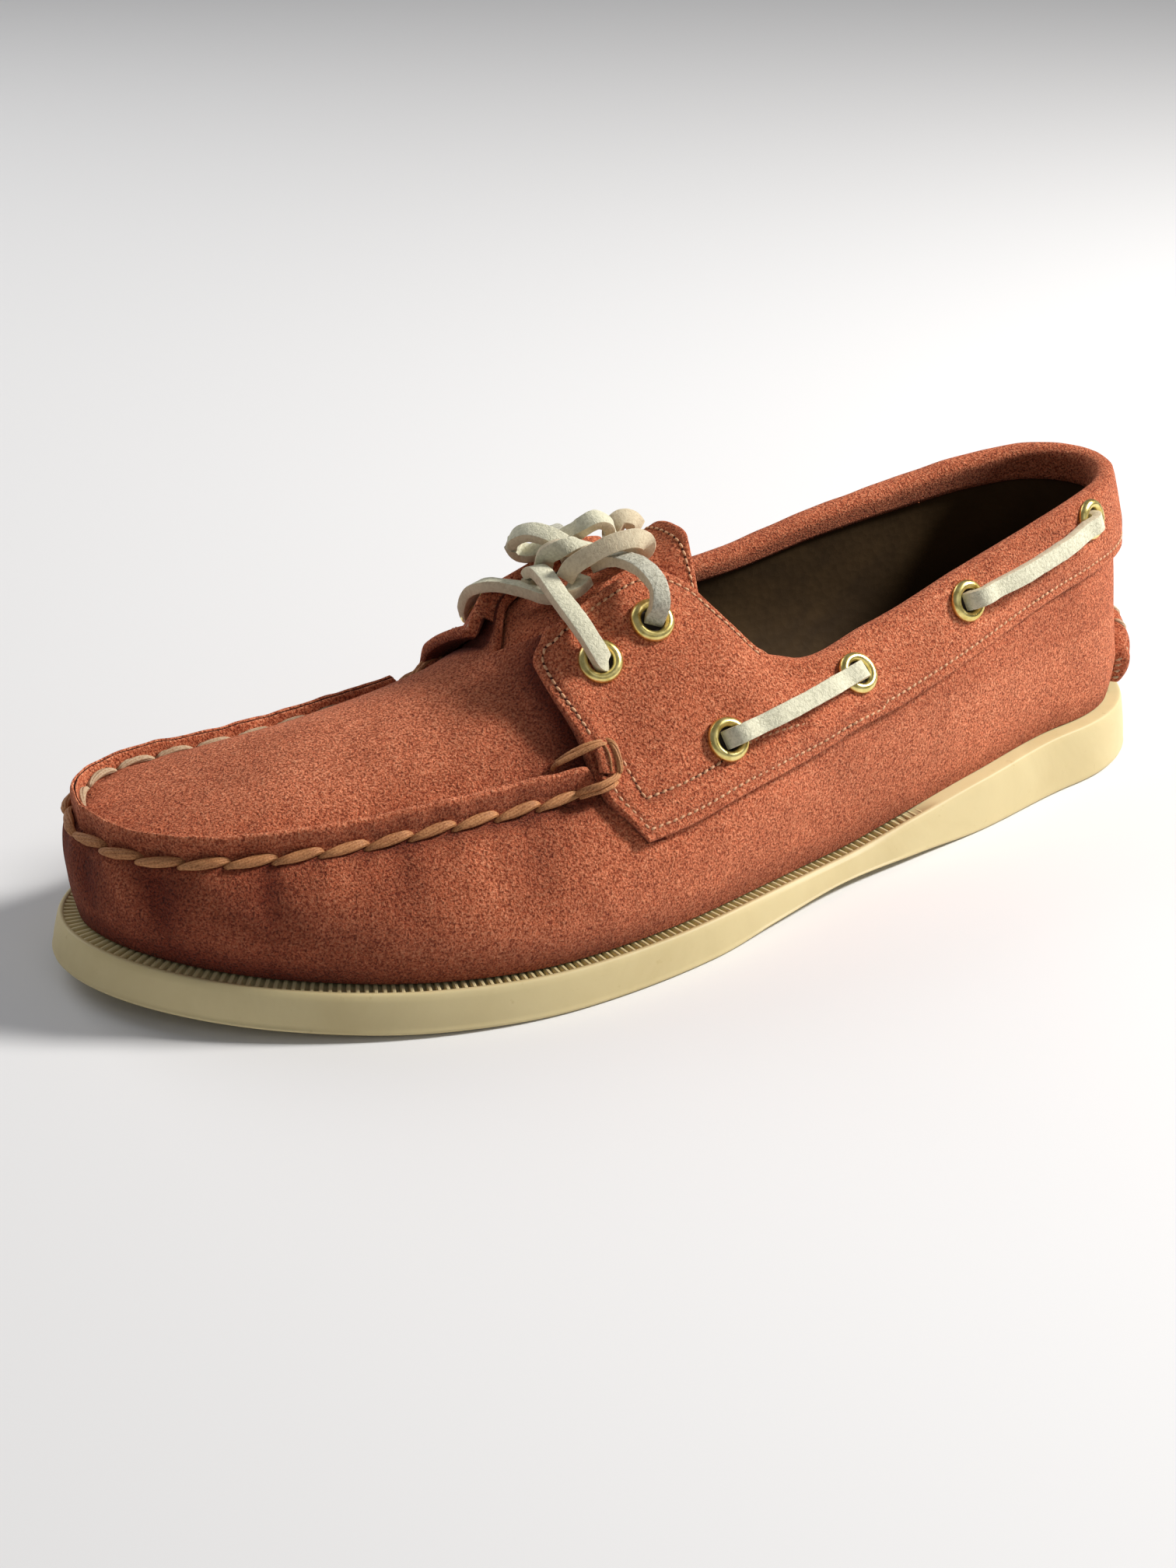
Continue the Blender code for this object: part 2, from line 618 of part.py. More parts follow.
def build_eyelets():
    seats = {}
    for row in EYELET_ROWS:
        for side, tag, a in ((1, "outer", 1), (-1, "inner", 3)):
            p, nn = saddle_face(row[a], row[a+1], side, (3.2 if row[0] == "side2" else 2.2)*GAP)
            seats[(row[0], side)] = (p, nn)
            ref = unit(np.cross(nn, np.array([0.0, 0.0, 1.0])))
            oth = np.cross(nn, ref)
            prof = ((EYELET_INNER, 0.0), (EYELET_OUTER, 0.0), (EYELET_OUTER-0.3*MM, 0.7*MM),
                    ((EYELET_OUTER+EYELET_INNER)/2, EYELET_RISE), (EYELET_INNER, 0.8*MM))
            m = 12
            pts, f = [], []
            for i in range(m):
                a2 = 2*np.pi*i/m
                for r, h in prof:
                    pts.append(p+(ref*np.cos(a2)+oth*np.sin(a2))*r+nn*h)
            c = len(prof)
            for i in range(m):
                for j in range(c):
                    f.append((i*c+j, i*c+(j+1) % c, ((i+1) % m)*c+(j+1) % c, ((i+1) % m)*c+j))
            solid(f"eyelet_{row[0]}_{tag}", pts, f, BRASS)
    return seats


def strap(points, normals, width, thick):
    """Swept flat strap with a rectangular section."""
    points, normals = np.asarray(points), np.asarray(normals)
    tan = unit(np.gradient(points, axis=0))
    wide = unit(np.cross(tan, normals))
    face = unit(np.cross(wide, tan))
    ring = []
    for a, b in ((1, 1), (-1, 1), (-1, -1), (1, -1)):
        ring.append(points+wide*a*width/2+face*b*thick/2)
    ring = np.stack(ring, 1)
    n = len(points)
    f = []
    for i in range(n-1):
        for j in range(4):
            f.append((i*4+j, i*4+(j+1) % 4, (i+1)*4+(j+1) % 4, (i+1)*4+j))
    f += [(0, 1, 2, 3), tuple((n-1)*4+k for k in range(4))]
    return ring.reshape(-1, 3), f


def build_side_laces(seats):
    for side, tag in ((1, "outer"), (-1, "inner")):
        for first, second, name in (("side1", "side2", "front"), ("side3", "side4", "back")):
            (a, na), (b, nb) = seats[(first, side)], seats[(second, side)]
            pa, pb = a+na*0.3*MM, b+nb*0.3*MM
            span = np.linalg.norm(pb-pa)
            d = np.array([0, 0.5, 2.8, 7.0])*MM/span
            keys = np.concatenate([d, [0.30, 0.42, 0.5, 0.58, 0.70], 1-d[::-1]])
            nn = unit(na+(nb-na)*keys[:, None])
            rest = EYELET_RISE+LACE_THICK/2+1.0*MM
            up = np.array([0.9*MM, 2.7*MM, rest+0.9*MM, rest+0.4*MM])
            mid = rest+(0.8+4.0*keys[4:9]*(1-keys[4:9]))*MM
            high = np.concatenate([up, mid, up[::-1]])
            line = pa+(pb-pa)*keys[:, None]+nn*high[:, None]
            pts, f = strap(line, nn, LACE_WIDTH*0.92, LACE_THICK*0.85)
            solid(f"lace_{tag}_{name}", pts, f, HIDE)


# runs of the front lace from its eyelets to the crossing, in mm
RUN_LOW_OUTER = (
    (32.1, 21.6, 62.8), (34.8, 24.1, 66.9), (37.1, 19.9, 73.2), (36.2, 10.5, 76.1),
    (34.6, 2.3, 77.8), (33.8, -2.7, 78.0), (33.5, -5.6, 76.2), (33.4, -5.5, 73.9))
RUN_LOW_INNER = (
    (38.0, -24.5, 60.3), (39.8, -22.6, 64.1), (41.1, -18.3, 69.3), (41.3, -12.2, 72.8),
    (38.2, -7.5, 73.4), (35.2, -2.3, 73.3), (33.2, 3.2, 73.5), (30.0, 6.0, 75.3),
    (26.1, 5.1, 77.2))
RUN_UP_OUTER = (
    (18.6, 20.8, 69.7), (18.9, 24.0, 75.7), (18.7, 22.9, 80.0), (19.0, 18.5, 82.4),
    (19.7, 13.5, 82.9), (21.0, 8.7, 82.1), (22.0, 4.2, 79.2))
RUN_UP_INNER = (
    (17.5, -23.6, 69.0), (18.0, -23.4, 73.5), (19.0, -19.6, 79.0), (20.8, -13.6, 80.4),
    (23.0, -7.4, 79.8), (24.6, -2.5, 78.8))
LACE_CORE = (25.5, 0.8, 78.2)


def build_front_lace(seats):
    """Four runs from the front eyelets, joined where they meet under the knot."""
    keep = None
    up = np.array([0, 0, 1.0])
    for seat, points, tail in ((("low", 1), RUN_LOW_OUTER, 1), (("low", -1), RUN_LOW_INNER, 0),
                               (("up", 1), RUN_UP_OUTER, 1), (("up", -1), RUN_UP_INNER, 1)):
        p, n = seats[seat]
        line = [p+n*0.9*MM, p+n*2.6*MM, p+n*4.6*MM]
        line = np.array(line+[np.array(q)*MM for q in points[2:]]+[np.array(LACE_CORE)*MM]*tail)
        k = np.linspace(0, len(line)-1, len(line)+4)
        pts = np.stack([through(k, np.arange(len(line)), line[:, i]) for i in range(3)], -1)
        w = (k/k[-1])[:, None]
        v, f = strap(pts, unit(n*(1-w)+up*w), LACE_WIDTH*0.90, LACE_THICK*0.9)
        ob = solid("lace_front" if keep is None else f"run_{seat[0]}_{seat[1]}", v, f, HIDE)
        if keep is None:
            keep = ob
            continue
        ob.hide_render = True
        ob.display_type = "WIRE"
        m = keep.modifiers.new("join", "BOOLEAN")
        m.operation = "UNION"
        m.solver = "EXACT"
        m.object = ob


def cord(name, points, radius):
    """Round cord along a smooth path through a few named points."""
    pts = np.array(points, float)*MM
    k = np.linspace(0, len(pts)-1, 3*(len(pts)-1)+1)
    line = np.stack([through(k, np.arange(len(pts)), pts[:, i]) for i in range(3)], -1)
    cu = bpy.data.curves.new(name, "CURVE")
    cu.dimensions = "3D"
    cu.bevel_depth = radius
    cu.bevel_resolution = 2
    cu.use_fill_caps = True
    sp = cu.splines.new("POLY")
    sp.points.add(len(line)-1)
    for p, c in zip(sp.points, line):
        p.co = (*c, 1)
    ob = bpy.data.objects.new(name, cu)
    ob.data.materials.append(HIDE)
    bpy.context.scene.collection.objects.link(ob)
    return ob


CORD_RADIUS = 1.6*MM
# named runs of the tied bow above the crossing, in mm
BOW = {
    "lace_knot": (
        (29.7, -6.2, 77.5), (30.6, -3.4, 81.1), (28.8, -0.6, 83.2), (24.7, 1.0, 83.4),
        (19.6, -0.7, 81.1)),
    "lace_loop_near": (
        (30.5, 4.0, 78.1), (29.7, 5.5, 81.1), (26.4, 7.7, 84.0), (21.9, 9.7, 86.4),
        (16.7, 10.6, 86.9), (12.5, 9.4, 84.8), (11.3, 6.8, 81.4), (12.7, 2.7, 79.5),
        (15.8, 0.3, 79.7)),
    "lace_end_near": (
        (9.9, -7.4, 79.2), (10.1, -6.7, 82.3), (8.2, -6.3, 84.3), (5.7, -5.5, 83.9),
        (4.0, -5.6, 81.6)),
    "lace_loop_far": (
        (26.1, -3.7, 82.5), (27.8, -7.0, 83.7), (29.9, -11.5, 83.7), (31.2, -15.3, 81.6),
        (30.6, -17.2, 78.5), (28.8, -16.3, 76.9), (27.2, -12.9, 77.9)),
    "lace_end_far": (
        (22.2, -6.6, 83.1), (20.5, -4.1, 85.7), (17.7, -2.9, 87.2), (14.4, -3.5, 85.4),
        (12.4, -4.4, 82.6)),
}


def build_bow():
    for name, points in BOW.items():
        cord(name, points, CORD_RADIUS)


build_sole()
build_insole()
build_upper()
build_saddle()
build_heel_patch()
build_tongue()
SEATS = build_eyelets()
build_side_laces(SEATS)
build_front_lace(SEATS)
build_bow()
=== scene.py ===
import math

import bpy
import bmesh
import numpy as np
from mathutils import Matrix, Vector


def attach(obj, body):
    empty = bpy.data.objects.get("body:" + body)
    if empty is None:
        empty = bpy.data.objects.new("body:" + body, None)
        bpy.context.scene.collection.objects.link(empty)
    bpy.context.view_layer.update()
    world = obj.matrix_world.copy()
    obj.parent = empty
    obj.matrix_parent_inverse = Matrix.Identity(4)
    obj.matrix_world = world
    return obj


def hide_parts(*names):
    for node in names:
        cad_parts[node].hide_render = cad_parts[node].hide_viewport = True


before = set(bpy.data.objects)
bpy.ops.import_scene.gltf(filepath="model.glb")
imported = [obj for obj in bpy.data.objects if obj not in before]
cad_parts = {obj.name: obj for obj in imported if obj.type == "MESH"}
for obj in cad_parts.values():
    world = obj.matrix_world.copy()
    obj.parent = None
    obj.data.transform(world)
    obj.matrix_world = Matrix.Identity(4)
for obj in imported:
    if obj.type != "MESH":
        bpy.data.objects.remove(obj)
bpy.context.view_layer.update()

MM = 0.001
PHOTO_WIDTH = 1512
PHOTO_HEIGHT = 2016
# the photograph's camera, worked out from the outline of the sole and the collar
AZIMUTH = 142.7611
ELEVATION = 25.4521
ROLL = 2.2562
DISTANCE = 0.6257
TARGET = (0.0, 0.0, 0.03)
FOCAL_PIXELS = 3331.43
SENSOR = 36.0
CENTRE_PIXEL = (844.5, 940.97)

# leading sizes
LENGTH = 299.5*MM            # sole, heel to toe
BALL_WIDTH = 106.5*MM        # sole at the ball
COLLAR_HEIGHT = 74.5*MM      # top line at the heel above the floor
HEEL_RIM = 15.0*MM           # sole side wall at the heel
TOE_SWING = 13.0*MM          # toe tip towards the inner side
SEAM_SWING = 18.5*MM         # same for the ring seam of the vamp
FLARE = 1.8*MM               # sole underside wider than its rim
WALL = 2.2*MM                # upper, leather with lining
GAP = 0.3*MM                 # joint clearance between pieces
INNER_DROP = 1.5*MM          # ring seam lower along the inner side
SADDLE_THICK = 2.0*MM
HEEL_PATCH_THICK = 2.3*MM
TONGUE_THICK = 2.4*MM
TONGUE_SEAT = 0.9*MM
TONGUE_ROW = 3.2*MM          # stitch row inside the tongue's edge
RIDGE_HEIGHT = 5.0*MM        # folded seam edge above the plug
RIDGE_WIDTH = 3.0*MM
EYELET_RISE = 1.3*MM
LACE_WIDTH = 4.3*MM
LACE_THICK = 2.6*MM

# share of length from the heel, half width outer side and inner side as shares of
# the ball width, rim height and underside height as shares of the heel rim
SOLE_ROWS = (
    (0.00, 0.320, 0.320, 1.000, 0.080),
    (0.13, 0.320, 0.320, 1.000, 0.000),
    (0.25, 0.373, 0.330, 0.880, 0.000),
    (0.33, 0.398, 0.325, 0.707, 0.080),
    (0.42, 0.425, 0.326, 0.527, 0.133),
    (0.50, 0.468, 0.355, 0.560, 0.067),
    (0.57, 0.512, 0.402, 0.607, 0.000),
    (0.68, 0.544, 0.478, 0.613, 0.000),
    (0.80, 0.528, 0.498, 0.647, 0.033),
    (0.90, 0.498, 0.474, 0.747, 0.147),
    (1.00, 0.468, 0.441, 0.953, 0.347),
)
# ring guide: share of its length, half widths (share of ball width), height (share
# of collar height). In front it is the moccasin seam, behind it shapes the quarters.
GUIDE_ROWS = (
    (0.00, 0.265, 0.270, 0.564),
    (0.12, 0.270, 0.275, 0.564),
    (0.25, 0.336, 0.303, 0.564),
    (0.37, 0.374, 0.322, 0.564),
    (0.50, 0.403, 0.351, 0.577),
    (0.60, 0.393, 0.336, 0.588),
    (0.67, 0.364, 0.270, 0.581),
    (0.75, 0.339, 0.246, 0.556),
    (0.85, 0.317, 0.229, 0.529),
    (0.92, 0.318, 0.246, 0.513),
    (1.00, 0.351, 0.303, 0.490),
)
# top line from the heel along collar and throat, then the spine of the vamp:
# key, x (share of length), outer y, inner y (ball width), outer z, inner z (collar);
# the first row mirrors the third, so the line runs round the heel without a corner
TOP_ROWS = (
    (-0.045, -0.4524, -0.090, 0.090, 0.999, 1.001),
    (0.000, -0.4658, 0.000, 0.000, 1.000, 1.000),
    (0.045, -0.4524, 0.090, -0.090, 1.001, 0.999),
    (0.085, -0.4274, 0.150, -0.154, 0.993, 0.985),
    (0.130, -0.3840, 0.195, -0.203, 0.980, 0.953),
    (0.190, -0.3172, 0.231, -0.243, 0.940, 0.898),
    (0.270, -0.2337, 0.260, -0.269, 0.877, 0.840),
    (0.360, -0.1336, 0.282, -0.286, 0.784, 0.760),
    (0.445, -0.0434, 0.294, -0.294, 0.760, 0.760),
    (0.480, -0.0134, 0.251, -0.256, 0.846, 0.846),
    (0.510, 0.0083, 0.185, -0.194, 0.946, 0.946),
    (0.535, 0.0234, 0.116, -0.121, 1.023, 1.020),
    (0.560, 0.0501, 0.083, -0.088, 1.058, 1.052),
    (0.590, 0.0935, 0.087, -0.090, 1.009, 1.007),
    (0.620, 0.1289, 0.093, -0.093, 0.930, 0.934),
    (0.655, 0.1586, -0.005, -0.005, 0.826, 0.826),
    (0.720, 0.2003, -0.014, -0.014, 0.757, 0.757),
    (0.800, 0.2538, -0.036, -0.036, 0.706, 0.706),
    (0.890, 0.3038, -0.064, -0.064, 0.666, 0.666),
    (1.000, 0.3472, -0.095, -0.095, 0.626, 0.626),
)
# lower edge of the saddle band: key along the girth, height share on the surface
BAND_ROWS = (
    (0.000, 0.760),
    (0.135, 0.745),
    (0.180, 0.730),
    (0.235, 0.700),
    (0.285, 0.655),
    (0.330, 0.610),
    (0.375, 0.565),
    (0.410, 0.545),
    (0.450, 0.500),
    (0.485, 0.465),
    (0.520, 0.425),
    (0.560, 0.370),
    (0.620, 0.320),
)
# front edge of the saddle: height share, x on the outer side, x on the inner side
FRONT_ROWS = (
    (0.32, 0.1290, 0.1370),
    (0.42, 0.1400, 0.1500),
    (0.50, 0.1480, 0.1600),
    (0.60, 0.1490, 0.1620),
    (0.75, 0.1490, 0.1620),
    (0.88, 0.1460, 0.1590),
    (1.00, 0.1290, 0.1400),
)
# eyelets: name, then key along the girth and height share, outer side and inner side
EYELET_ROWS = (
    ("low", 0.6000, 0.840, 0.6130, 0.805),
    ("up", 0.5640, 0.865, 0.5640, 0.850),
    ("side1", 0.5290, 0.600, 0.5290, 0.590),
    ("side2", 0.3940, 0.830, 0.4040, 0.790),
    ("side3", 0.2770, 0.905, 0.2850, 0.830),
    ("side4", 0.1290, 0.945, 0.1280, 0.860),
)
GUIDE_BACK = -0.4780*LENGTH   # ends of the ring guide
GUIDE_TIP = 0.4695*LENGTH
SEAM = 0.56                  # height share of the ring seam
SPINE = 0.655                # key where the two sides join in front of the throat
SEAT = 0.5*MM                # overlay clearance on the curved upper
BAND_FLOOR = 0.32            # height shares between which the saddle lies
BAND_TOP = 0.985
STRETCH_KEY = 0.49           # saddle columns in front of this key follow its front edge


def column(rows, n):
    return np.array([r[n] for r in rows], float)


def hermite(x, xs, ys, slopes):
    """Cubic pieces through the points (xs, ys) with the given slopes."""
    h = np.diff(xs)
    i = np.clip(np.searchsorted(xs, x, side="right")-1, 0, len(xs)-2)
    t = np.clip((x-xs[i])/h[i], 0, 1)
    return ((1+2*t)*(1-t)**2*ys[i]+t*(1-t)**2*h[i]*slopes[i]
            + t*t*(3-2*t)*ys[i+1]+t*t*(t-1)*h[i]*slopes[i+1])


def through(x, xs, ys):
    return hermite(np.asarray(x, float), xs, ys, np.gradient(ys, xs))


def smooth(x, xs, ys):
    """As through, without overshoot between the points."""
    xs, ys = np.asarray(xs, float), np.asarray(ys, float)
    h = np.diff(xs)
    d = np.diff(ys)/h
    m = np.concatenate([[d[0]], np.zeros(len(xs)-2), [d[-1]]])
    for i in range(1, len(xs)-1):
        if d[i-1]*d[i] > 0:
            a = 2*h[i]+h[i-1]
            b = h[i]+2*h[i-1]
            m[i] = (a+b)/(a/d[i-1]+b/d[i])
    return hermite(np.asarray(x, float), xs, ys, m)


def read(rows, x, n, curve=through):
    """Column n of a table at x, where column 0 holds the keys."""
    return curve(x, column(rows, 0), column(rows, n))


def side_column(side):
    return 1 if side > 0 else 2


def run_along(line):
    """Length run along a line of points, from 0."""
    return np.concatenate([[0], np.cumsum(np.linalg.norm(np.diff(line, axis=0), axis=1))])


def rise(x, a, b):
    t = np.clip((np.asarray(x, float)-a)/(b-a), 0, 1)
    return t*t*(3-2*t)


def unit(a):
    return a/(np.linalg.norm(a, axis=-1, keepdims=True)+1e-12)


def caps(s, heel, toe, power_heel, power_toe):
    a = np.clip(1-s/heel, 0, 1)
    b = np.clip((s-toe)/(1-toe), 0, 1)
    return np.sqrt(np.clip(1-a**power_heel, 0, 1))*np.sqrt(np.clip(1-b**power_toe, 0, 1))


def sole_plan(s, side, inset=0.0):
    """Sole outline of one side: side is +1 outer, -1 inner."""
    w = read(SOLE_ROWS, s, side_column(side))
    c = -TOE_SWING*np.clip((s-0.45)/0.55, 0, 1)**2
    y = c+side*(w*BALL_WIDTH-inset)*caps(s, 0.13, 0.70, 2.2, 2.12)
    return (LENGTH-2*inset)*(s-0.5), y


def guide_plan(s, side):
    w = read(GUIDE_ROWS, s, side_column(side))
    c = -SEAM_SWING*np.clip((s-0.45)/0.55, 0, 1)**2
    y = c+side*w*BALL_WIDTH*caps(s, 0.13, 0.80, 2.2, 2.6)
    return GUIDE_BACK+(GUIDE_TIP-GUIDE_BACK)*s, y


def sole_share(x):
    return np.clip(x/LENGTH+0.5, 0, 1)


def rim_z(x):
    return read(SOLE_ROWS, sole_share(x), 3, smooth)*HEEL_RIM


def under_z(x):
    return read(SOLE_ROWS, sole_share(x), 4, smooth)*HEEL_RIM


def ledge(x):
    """Width of the ledge between the rim and the upper, with the flare."""
    return smooth(sole_share(x), (0, .2, .45, .7, .9, 1), (4.2, 4.3, 3.6, 3.6, 4.6, 4.4))*MM+FLARE


def along(plan, t, side):
    """Point and outward normal at share t of the length of a half outline."""
    s = (1-np.cos(np.linspace(0, np.pi, 801)))/2
    x, y = plan(s, side)
    g = np.concatenate([[0], np.cumsum(np.hypot(np.diff(x), np.diff(y)))])
    g = g/g[-1]
    e = 2e-3
    lo, hi = np.clip(t-e, 0, 1), np.clip(t+e, 0, 1)
    ax = np.interp(hi, g, x)-np.interp(lo, g, x)
    ay = np.interp(hi, g, y)-np.interp(lo, g, y)
    ln = np.hypot(ax, ay)+1e-12
    nx = np.where(t > 0.996, 1.0, np.where(t < 0.004, -1.0, -side*ay/ln))
    ny = np.where((t > 0.996) | (t < 0.004), 0.0, side*ax/ln)
    return np.interp(t, g, x), np.interp(t, g, y), np.stack([nx, ny, 0*nx], -1)


def feather(t, side):
    """Lower edge of the upper on the sole ledge."""
    x, y, n = along(sole_plan, t, side)
    d = ledge(x)
    return np.stack([x-n[..., 0]*d, y-n[..., 1]*d, rim_z(x)+GAP], -1), n


def guide(t, side):
    x, y, n = along(guide_plan, t, side)
    s = (x-GUIDE_BACK)/(GUIDE_TIP-GUIDE_BACK)
    z = read(GUIDE_ROWS, s, 3, smooth)*COLLAR_HEIGHT
    if side < 0:
        z = z-INNER_DROP*rise(s, 0.60, 0.70)*(1-rise(s, 0.84, 0.98))
    return np.stack([x, y, z], -1), n


def top(t, side):
    x, outer_y, inner_y, outer_z, inner_z = (read(TOP_ROWS, t, n) for n in (1, 2, 3, 4, 5))
    joined = np.asarray(t) >= SPINE-1e-9
    y = np.where(joined, (outer_y+inner_y)/2, outer_y if side > 0 else inner_y)
    z = np.where(joined, (outer_z+inner_z)/2, outer_z if side > 0 else inner_z)
    return np.stack([x*LENGTH, y*BALL_WIDTH, z*COLLAR_HEIGHT], -1)


def bezier(a, b, c, d, t):
    t = t[..., None]
    return (1-t)**3*a+3*(1-t)**2*t*b+3*(1-t)*t*t*c+t**3*d


def surface(t, v, side):
    """Outer face of the upper: t runs heel to toe, v from the feather edge up."""
    t, v = np.broadcast_arrays(np.asarray(t, float), np.asarray(v, float))
    low, n_low = feather(t, side)
    mid, n_mid = guide(t, side)
    crest = top(t, side)
    up = np.zeros_like(low)
    up[..., 2] = 1
    front = rise(t, 0.50, 0.66)[..., None]
    toe = rise(t, 0.80, 1.0)[..., None]
    flap = (rise(t, 0.44, 0.52)*(1-rise(t, 0.62, 0.66)))[..., None]
    d0 = unit(n_low*(0.22+0.16*front-0.12*toe)+up)
    back_dir = unit(-n_mid*0.10+up)
    flap_dir = unit(-n_mid*0.55+up*0.9)
    front_dir = unit(-n_mid*(0.95-0.35*toe)+up*(0.62+0.30*toe))
    d1 = unit(back_dir*(1-front)*(1-flap)+flap_dir*flap*(1-front)+front_dir*front)
    ln = np.linalg.norm(mid-low, axis=-1, keepdims=True)
    wall = bezier(low, low+d0*ln*0.42, mid-d1*ln*0.36, mid, np.clip(v/SEAM, 0, 1))
    q = np.clip((v-SEAM)/(1-SEAM), 0, 1)
    ln = np.linalg.norm(crest-mid, axis=-1, keepdims=True)
    d2 = unit(-n_mid*(0.30+0.55*flap)+up*(1.0-0.45*flap))
    high = bezier(mid, mid+d1*ln*0.34, crest-d2*ln*0.34, crest, q)
    run = np.linalg.norm((crest-mid)[..., :2], axis=-1)+1e-9
    step = top(np.clip(t+0.01, 0, 1), side)-top(np.clip(t-0.01, 0, 1), side)
    fall = np.where(t > SPINE, step[..., 2]/(np.abs(step[..., 0])+1e-9), 0)
    fall = fall*(crest-mid)[..., 0]/run
    lift = 2*(crest-mid)[..., 2]/run-fall
    plug = mid+(crest-mid)*q[..., None]
    plug[..., 2] = ((1+2*q)*(1-q)**2*mid[..., 2]+q*(1-q)**2*run*lift
                    + q*q*(3-2*q)*crest[..., 2]+q*q*(q-1)*run*fall)
    mix = rise(t, 0.60, 0.67)[..., None]
    return np.where((v <= SEAM)[..., None], wall, high*(1-mix)+plug*mix)


def normal(t, v, side):
    """Outward unit normal of the upper's outer face."""
    t, v = np.broadcast_arrays(np.asarray(t, float), np.asarray(v, float))
    e = 4e-3
    down = np.where(v > SEAM, np.maximum(v-e, SEAM+1e-4), v-e)
    upper = np.where(v > SEAM, v+e, np.minimum(v+e, SEAM))
    dv = surface(t, np.clip(upper, 0, 1), side)-surface(t, np.clip(down, 0, 1), side)
    dt = surface(np.clip(t+e, 0, 1), v, side)-surface(np.clip(t-e, 0, 1), v, side)
    n = unit(np.cross(dv, dt)*side)
    ends = (t < 0.003) | (t > 0.997)
    n[..., 1] = np.where(ends, 0, n[..., 1])
    return unit(n)


def above(t, v, side, lift):
    """Point of the upper's outer face moved outward by lift, and the normal there."""
    n = normal(t, v, side)
    return surface(t, v, side)+n*np.asarray(lift, float)[..., None], n


def front_key(v, side):
    """Key of the saddle front edge at height share v."""
    want = read(FRONT_ROWS, v, side_column(side), smooth)*LENGTH
    lo, hi = np.full_like(v, 0.52), np.full_like(v, 0.68)
    for _ in range(40):
        m = (lo+hi)/2
        x = surface(m, v, side)[..., 0]
        lo = np.where(x < want, m, lo)
        hi = np.where(x < want, hi, m)
    return (lo+hi)/2


def band_low(t):
    return read(BAND_ROWS, t, 1)


def band_point(p, q, side):
    """Saddle band domain: p is the girth key, stretched near the front edge."""
    v = BAND_FLOOR+(BAND_TOP-BAND_FLOOR)*q
    front = front_key(v, side)
    t = np.where(p <= STRETCH_KEY, p, STRETCH_KEY+(p-STRETCH_KEY)/(SPINE-STRETCH_KEY)*(front-STRETCH_KEY))
    v_low = band_low(t)
    return t, v_low+(BAND_TOP-v_low)*q


def link(name, mesh, mats, smooth=True, node=(), slot=None):
    """Object from a mesh, riding on the body, with its finish and what it stands for."""
    ob = bpy.data.objects.new(name, mesh)
    bpy.context.scene.collection.objects.link(ob)
    for m in mats if isinstance(mats, (list, tuple)) else [mats]:
        mesh.materials.append(m)
    if smooth:
        mesh.polygons.foreach_set("use_smooth", [True]*len(mesh.polygons))
    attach(ob, "root")
    if node:
        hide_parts(*([node] if isinstance(node, str) else node))
    return ob


def mesh_of(name, verts, faces, slots=None, shade=None):
    mesh = bpy.data.meshes.new(name)
    mesh.from_pydata([tuple(p) for p in np.asarray(verts, float).reshape(-1, 3)], [], faces)
    if shade is not None:
        mesh.attributes.new("shade", "FLOAT", "POINT").data.foreach_set("value", np.ravel(shade))
    if slots is not None:
        mesh.polygons.foreach_set("material_index", slots)
    mesh.validate()
    bm = bmesh.new()
    bm.from_mesh(mesh)
    bmesh.ops.remove_doubles(bm, verts=bm.verts, dist=2e-6)
    bmesh.ops.dissolve_degenerate(bm, dist=1e-7, edges=bm.edges)
    bmesh.ops.recalc_face_normals(bm, faces=bm.faces)
    bm.to_mesh(mesh)
    bm.free()
    return mesh


def grid_faces(rows, cols, closed=False, start=0):
    """Quads of a grid of points kept row by row; closed joins the last column to the first."""
    f = []
    for i in range(rows-1):
        for j in range(cols if closed else cols-1):
            k = (j+1) % cols
            a, b = start+i*cols, start+(i+1)*cols
            f.append((a+j, a+k, b+k, b+j))
    return f


def ring_of(outer, inner):
    """Both halves as one ring of columns; the end columns are the same points."""
    return np.concatenate([outer, inner[:, ::-1][:, 1:-1]], 1)


def edge_round(d, r):
    """0 at the edge, 1 from r inwards, along a quarter circle."""
    k = 1-np.clip(d/r, 0, 1)
    return np.sqrt(np.clip(1-k*k, 0, 1))


def bell(x, width):
    return np.exp(-(x/width)**2)


def swell(k, end, power):
    """Grows from both ends of 0 to 1 towards the middle, held short of the ends by end."""
    return np.sin(np.pi*np.clip(k, end, 1-end))**power


def spline(points, n):
    """Smooth line through a few points, n points evenly spread along it."""
    pts = np.asarray(points, float)
    k = np.linspace(0, len(pts)-1, 24*(len(pts)-1)+1)
    line = np.stack([through(k, np.arange(len(pts)), pts[:, i]) for i in range(pts.shape[1])], -1)
    g = run_along(line)
    u = np.linspace(0, g[-1], n)
    return np.stack([np.interp(u, g, line[:, i]) for i in range(pts.shape[1])], -1)


def sweep(line, facing, section, taper=None):
    """Points of a closed tube: section is a loop of (across, out) sizes along the line."""
    line = np.asarray(line, float)
    tan = unit(np.gradient(line, axis=0))
    wide = unit(np.cross(tan, facing))
    face = unit(np.cross(wide, tan))
    size = np.ones(len(line)) if taper is None else np.asarray(taper, float)
    pts = [line+wide*(a*size)[:, None]+face*(b*size)[:, None] for a, b in section]
    return np.stack(pts, 1)


def tube_faces(n, m, start=0, capped=True):
    f = []
    for i in range(n-1):
        for j in range(m):
            a, b = start+i*m, start+(i+1)*m
            f.append((a+j, a+(j+1) % m, b+(j+1) % m, b+j))
    if capped:
        f.append(tuple(range(start, start+m))[::-1])
        f.append(tuple(start+(n-1)*m+j for j in range(m)))
    return f


